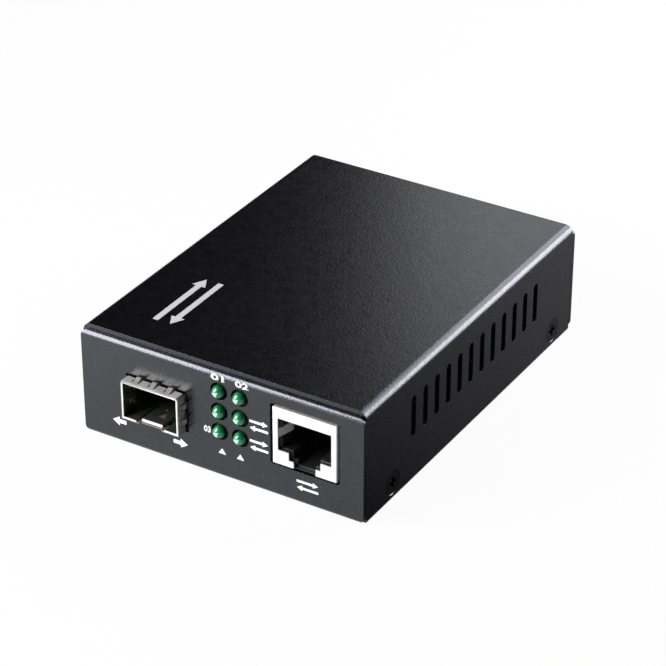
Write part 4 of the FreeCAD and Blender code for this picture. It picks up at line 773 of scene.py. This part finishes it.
@dataclass
class MainBoard(SubAssembly):
    """The circuit board with the parts soldered to it and what it stands on."""

    def build(self) -> None:
        """Finishes the board's pieces."""
        self.dress(BOARD_GREEN, "circuit_board")
        chips = ("switch_chip", "magnetics_module", "eeprom", "regulator")
        self.dress(CHIP_BLACK, *chips, "chip_resistors")
        self.dress(LEAD_TIN, *(f"{chip}_leads" for chip in chips), "crystal")
        self.dress(SLEEVE_BLUE, "capacitor_input", "capacitor_output")
        self.dress(FERRITE_GREY, "power_inductor")
        self.dress(CERAMIC_TAN, "chip_capacitors")
        self.dress(ZINC_STEEL, "board_standoffs", "board_screws")


# Printed marks


class Mark(Enum):
    """The plain marks that are printed on the housing."""

    NUMBER = "number"
    ARROW = "arrow"
    ARROW_BACK = "arrow_back"
    EXCHANGE = "exchange"
    POINTER = "pointer"


@dataclass(frozen=True)
class Panel:
    """A flat face that takes print: its origin, and the ways that print runs and stands."""

    origin: tuple[float, float, float]
    along: tuple[float, float, float]
    upward: tuple[float, float, float]

    def matrix(self) -> Matrix:
        """Takes flat drawing coordinates to the frame."""
        x, y = Vector(self.along), Vector(self.upward)
        turn = Matrix((x, y, x.cross(y))).transposed().to_4x4()
        return Matrix.Translation(Vector(self.origin)) @ turn


@dataclass(frozen=True)
class Print:
    """One mark and the box that it fills on its panel, in millimetres."""

    mark: Mark
    left: float
    low: float
    wide: float
    high: float
    text: str = ""


@dataclass
class PrintedMarks:
    """Screen-printed marks, each a thin layer of ink on the coat."""

    body_low: Vector
    body_high: Vector
    ink_height: float = 0.02 * MM
    sink: float = 0.01 * MM
    corner: float = 0.1 * MM
    stroke_gain: float = 0.04
    curve_steps: int = 4
    close: float = 0.002 * MM
    shaft_share: float = 0.42
    pair_share: float = 0.47
    front_marks: tuple[Print, ...] = (
        Print(Mark.ARROW_BACK, -27.9, 4.4, 3.5, 2.3),
        Print(Mark.ARROW, -12.0, 4.1, 3.7, 2.3),
        Print(Mark.NUMBER, -1.9, 24.1, 3.4, 1.6, "01"),
        Print(Mark.NUMBER, 4.2, 24.1, 3.4, 1.6, "02"),
        Print(Mark.NUMBER, -4.0, 10.4, 1.8, 1.6, "03"),
        Print(Mark.EXCHANGE, 7.6, 14.5, 4.6, 3.1),
        Print(Mark.EXCHANGE, 7.6, 9.6, 4.6, 3.1),
        Print(Mark.POINTER, -0.4, 6.1, 1.9, 1.4),
        Print(Mark.POINTER, 4.2, 6.1, 1.9, 1.4),
        Print(Mark.EXCHANGE, 19.2, 3.5, 5.3, 3.0),
    )
    top_marks: tuple[Print, ...] = (Print(Mark.EXCHANGE, -37.8, 17.2, 20.2, 7.2),)

    def arrow(self, print_: Print, back: bool = False) -> list[Point]:
        """Draws an arrow that fills its box.

        Args:
            print_: the arrow's box.
            back: whether it points to the left.

        Returns:
            The outline's corners, in millimetres.
        """
        x, y, w, h = print_.left, print_.low, print_.wide, print_.high
        head, shaft = min(w * 0.5, h * 0.95), h * self.shaft_share
        corners = [
            (0, h / 2 - shaft / 2), (w - head, h / 2 - shaft / 2), (w - head, 0), (w, h / 2),
            (w - head, h), (w - head, h / 2 + shaft / 2), (0, h / 2 + shaft / 2),
        ]
        return [(x + (w - a if back else a), y + b) for a, b in corners]

    def outlines(self, print_: Print) -> list[list[Point]]:
        """Draws the closed outlines of a mark.

        Args:
            print_: the mark and its box.

        Returns:
            One list of corners for each outline, in millimetres.
        """
        x, y, w, h = print_.left, print_.low, print_.wide, print_.high
        if print_.mark is Mark.ARROW:
            return [self.arrow(print_)]
        if print_.mark is Mark.ARROW_BACK:
            return [self.arrow(print_, back=True)]
        if print_.mark is Mark.EXCHANGE:
            share = self.pair_share
            upper = Print(Mark.ARROW, x, y + h * (1 - share), w, h * share)
            lower = Print(Mark.ARROW, x, y, w, h * share)
            return [self.arrow(upper), self.arrow(lower, back=True)]
        return [[(x, y), (x + w, y), (x + w / 2, y + h)]]

    def shape(self, mesh: bmesh.types.BMesh, print_: Print) -> None:
        """Adds one mark's flat faces to a mesh, in the panel's own metres.

        Args:
            mesh: the mesh that gathers the panel's marks.
            print_: the mark to add.
        """
        if print_.mark is Mark.NUMBER:
            self.number(mesh, print_)
            return
        for corners in self.outlines(print_):
            ring = [mesh.verts.new((a * MM, b * MM, 0)) for a, b in corners]
            face = mesh.faces.new(ring)
            if face.normal.z < 0:
                face.normal_flip()
            bmesh.ops.bevel(
                mesh, geom=ring, offset=self.corner, segments=3, profile=0.5,
                affect="VERTICES", clamp_overlap=True,
            )

    def number(self, mesh: bmesh.types.BMesh, print_: Print) -> None:
        """Adds a plain number, fitted to its box.

        Args:
            mesh: the mesh that gathers the panel's marks.
            print_: the number and its box.
        """
        curve = bpy.data.curves.new("number", "FONT")
        curve.body = print_.text
        curve.offset = self.stroke_gain
        curve.resolution_u = self.curve_steps
        drawn = bpy.data.objects.new("number", curve)
        flat = bpy.data.meshes.new_from_object(drawn)
        xs = [corner.co.x for corner in flat.vertices]
        ys = [corner.co.y for corner in flat.vertices]
        wide, high = print_.wide * MM / (max(xs) - min(xs)), print_.high * MM / (max(ys) - min(ys))
        stretch = Matrix.Diagonal((wide, high, 1, 1))
        shift = Matrix.Translation((print_.left * MM, print_.low * MM, 0))
        flat.transform(shift @ stretch @ Matrix.Translation((-min(xs), -min(ys), 0)))
        mesh.from_mesh(flat)
        bpy.data.objects.remove(drawn)
        bpy.data.meshes.remove(flat)
        bpy.data.curves.remove(curve)

    def lay(self, name: str, panel: Panel, prints: Iterable[Print], ink: ScreenInk) -> None:
        """Makes one panel's marks into a piece.

        Args:
            name: the piece's name.
            panel: the face that takes the print.
            prints: the marks on it.
            ink: the ink's finish.
        """
        mesh = bmesh.new()
        for print_ in prints:
            self.shape(mesh, print_)
        bmesh.ops.remove_doubles(mesh, verts=mesh.verts, dist=self.close)
        bmesh.ops.recalc_face_normals(mesh, faces=mesh.faces)
        for face in mesh.faces:
            if face.normal.z < 0:
                face.normal_flip()
        grown = bmesh.ops.extrude_face_region(mesh, geom=mesh.faces[:])
        raised = [v for v in grown["geom"] if isinstance(v, bmesh.types.BMVert)]
        bmesh.ops.translate(mesh, verts=raised, vec=(0, 0, self.ink_height + self.sink))
        bmesh.ops.recalc_face_normals(mesh, faces=mesh.faces)
        data = bpy.data.meshes.new(name)
        mesh.to_mesh(data)
        mesh.free()
        data.transform(panel.matrix() @ Matrix.Translation((0, 0, -self.sink)))
        data.materials.append(ink.material())
        piece = bpy.data.objects.new(name, data)
        bpy.context.scene.collection.objects.link(piece)
        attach(piece, BODY)
        log.info("%s: %s", name, ink.name)

    def build(self) -> None:
        """Prints the front panel and the top."""
        front = Panel((0, self.body_low.y, 0), (1, 0, 0), (0, 0, 1))
        top = Panel((0, 0, self.body_high.z), (0, 1, 0), (-1, 0, 0))
        self.lay("front_print", front, self.front_marks, INK_WHITE)
        self.lay("top_print", top, self.top_marks, INK_GREY)


# Studio


def outward(azimuth: float, elevation: float) -> Vector:
    """Points from the object towards a compass direction.

    Args:
        azimuth: 0 straight in front of the front panel and a right angle to its right.
        elevation: the angle above the floor.

    Returns:
        The direction, one unit long.
    """
    level = math.cos(elevation)
    return Vector((math.sin(azimuth) * level, -math.cos(azimuth) * level, math.sin(elevation)))


@dataclass(frozen=True)
class Softbox:
    """An oblong lamp that faces the object from a compass direction.

    Azimuth 0 is straight in front of the front panel and 90 is to its right. Brightness is
    the lamp's radiance, so that a larger box of the same brightness lights more.
    """

    name: str
    azimuth: float
    elevation: float
    distance: float
    width: float
    height: float
    brightness: float
    aim: tuple[float, float, float] = (0.0, 0.0, 0.01)

    def build(self) -> None:
        """Makes the lamp and turns it to its aim."""
        data = bpy.data.lights.new(self.name, "AREA")
        data.shape = "RECTANGLE"
        data.size, data.size_y = self.width, self.height
        data.energy = self.brightness * math.pi * self.width * self.height
        lamp = bpy.data.objects.new(self.name, data)
        away = outward(math.radians(self.azimuth), math.radians(self.elevation))
        lamp.location = Vector(self.aim) + away * self.distance
        lamp.rotation_mode = "QUATERNION"
        lamp.rotation_quaternion = (-away).to_track_quat("-Z", "Y")
        lamp.visible_camera = False
        bpy.context.scene.collection.objects.link(lamp)


@dataclass
class Studio:
    """The white floor, the surroundings, the lamps and a card that only reflections see.

    The card's edges are near, far, front and back. Its tones run from its front to its back.
    """

    floor_half: float = 3.0
    floor_drop: float = 0.02 * MM
    floor_grey: float = 0.8
    seen_share: float = 0.95
    mirrored_share: float = 0.05
    ceiling: float = 0.008
    flag_edges: tuple[float, float, float, float] = (35.6 * MM, 200 * MM, -60 * MM, 130 * MM)
    flag_tones: tuple[float, float] = (0.0, 0.34)
    flag_rise: float = 0.2 * MM
    softboxes: tuple[Softbox, ...] = (
        Softbox("front_box", 318, 23, 0.45, 0.28, 0.45, 10.8),
        Softbox("right_box", 140, 14, 0.44, 0.19, 0.22, 8.2),
        Softbox("rear_box", 201, 24, 0.45, 0.09, 0.22, 1.2),
        Softbox("high_box", 160, 33, 0.30, 0.27, 0.17, 3.6),
    )

    @staticmethod
    def card(
        name: str, edges: tuple[float, float, float, float], height: float
    ) -> tuple[bpy.types.Object, ShaderTree]:
        """Lays a flat card that isn't part of the object.

        Args:
            name: the card's name.
            edges: its left, right, front and back.
            height: how high it lies.

        Returns:
            The card, and the empty tree of its material.
        """
        left, right, front, back = edges
        corners = [(left, front, 0), (right, front, 0), (right, back, 0), (left, back, 0)]
        data = bpy.data.meshes.new(name)
        data.from_pydata(corners, [], [(0, 1, 2, 3)])
        material = bpy.data.materials.new(f"{name}_card")
        material.use_nodes = True
        material.node_tree.nodes.clear()
        data.materials.append(material)
        card = bpy.data.objects.new(name, data)
        card.location.z = height
        bpy.context.scene.collection.objects.link(card)
        return card, ShaderTree(material.node_tree)

    def floor(self) -> None:
        """Makes the floor, which shows white and keeps a faint shadow."""
        half = self.floor_half
        floor, sheet = self.card("floor", (-half, half, -half, half), -self.floor_drop)
        paper = sheet.add("ShaderNodeBsdfDiffuse", Color=rgba((self.floor_grey,) * 3))
        glow = sheet.add("ShaderNodeEmission", Color=rgba((1, 1, 1)), Strength=1.0)
        path = sheet.add("ShaderNodeLightPath")
        seen = sheet.math("MULTIPLY", path.outputs["Is Camera Ray"], self.seen_share)
        mirrored = sheet.math("MAXIMUM", path.outputs["Is Glossy Ray"], path.outputs["Is Transmission Ray"])
        share = sheet.math("MAXIMUM", seen, sheet.math("MULTIPLY", mirrored, self.mirrored_share))
        mixed = sheet.add("ShaderNodeMixShader")
        for index, item in enumerate((share, paper.outputs[0], glow.outputs[0])):
            sheet.feed(mixed, index, item)
        sheet.add("ShaderNodeOutputMaterial", Surface=mixed.outputs[0])
        floor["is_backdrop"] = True

    def flag(self) -> None:
        """Lays a card by the right side, dark to light, which only reflections see."""
        flag, sheet = self.card("flag", self.flag_edges, self.flag_rise)
        place = sheet.add("ShaderNodeTexCoord").outputs["Object"]
        depth = sheet.add("ShaderNodeSeparateXYZ", Vector=place).outputs["Y"]
        strength = sheet.spread(depth, *self.flag_edges[2:], *self.flag_tones)
        glow = sheet.add("ShaderNodeEmission", Strength=strength)
        sheet.add("ShaderNodeOutputMaterial", Surface=glow.outputs[0])
        flag.visible_camera = flag.visible_diffuse = flag.visible_shadow = False
        flag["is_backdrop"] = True

    def surroundings(self) -> None:
        """Makes the world white to the camera and dim to everything else."""
        world = bpy.data.worlds.new("studio")
        bpy.context.scene.world = world
        world.use_nodes = True
        world.node_tree.nodes.clear()
        sheet = ShaderTree(world.node_tree)
        path = sheet.add("ShaderNodeLightPath")
        strength = sheet.spread(path.outputs["Is Camera Ray"], 0.0, 1.0, self.ceiling, 1.0)
        glow = sheet.add("ShaderNodeBackground", Color=rgba((1, 1, 1)), Strength=strength)
        sheet.add("ShaderNodeOutputWorld", Surface=glow.outputs[0])

    def build(self) -> None:
        """Sets up the studio."""
        self.floor()
        self.flag()
        self.surroundings()
        for softbox in self.softboxes:
            softbox.build()
        bpy.context.scene.view_settings.view_transform = "Standard"


@dataclass(frozen=True)
class Viewpoint:
    """Where the camera stands, as angles and a distance from a point in the object."""

    azimuth: float = math.radians(31.19)
    elevation: float = math.radians(30.82)
    distance: float = 600.67 * MM
    offset: tuple[float, float, float] = (0.80 * MM, -1.04 * MM, -0.52 * MM)
    lens: float = 144.85
    sensor: float = 36.0

    def build(self, centre: Vector) -> None:
        """Makes the camera.

        Args:
            centre: the middle of the object's box.
        """
        data = bpy.data.cameras.new("camera")
        data.lens, data.sensor_width = self.lens, self.sensor
        data.clip_start, data.clip_end = 0.05, 20.0
        camera = bpy.data.objects.new("camera", data)
        back = outward(self.azimuth, self.elevation)
        turn = (-back).to_track_quat("-Z", "Y").to_matrix().to_4x4()
        stand = centre + Vector(self.offset) + back * self.distance
        camera.matrix_world = Matrix.Translation(stand) @ turn
        bpy.context.scene.collection.objects.link(camera)
        bpy.context.scene.camera = camera


def main() -> None:
    """Builds everything in order."""
    logging.basicConfig(level=logging.INFO, format="%(name)s %(message)s")
    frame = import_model()
    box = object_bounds()
    Viewpoint().build((box[0] + box[1]) / 2)
    nodes = frame["nodes"]
    for part in (Housing, ModuleBay, NetworkSocket, LampPanel, PowerInlet, MainBoard):
        part(nodes).build()
    PrintedMarks(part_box("base_tray")[0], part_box("top_cover")[1]).build()
    Studio().build()


if __name__ == "__main__":
    main()
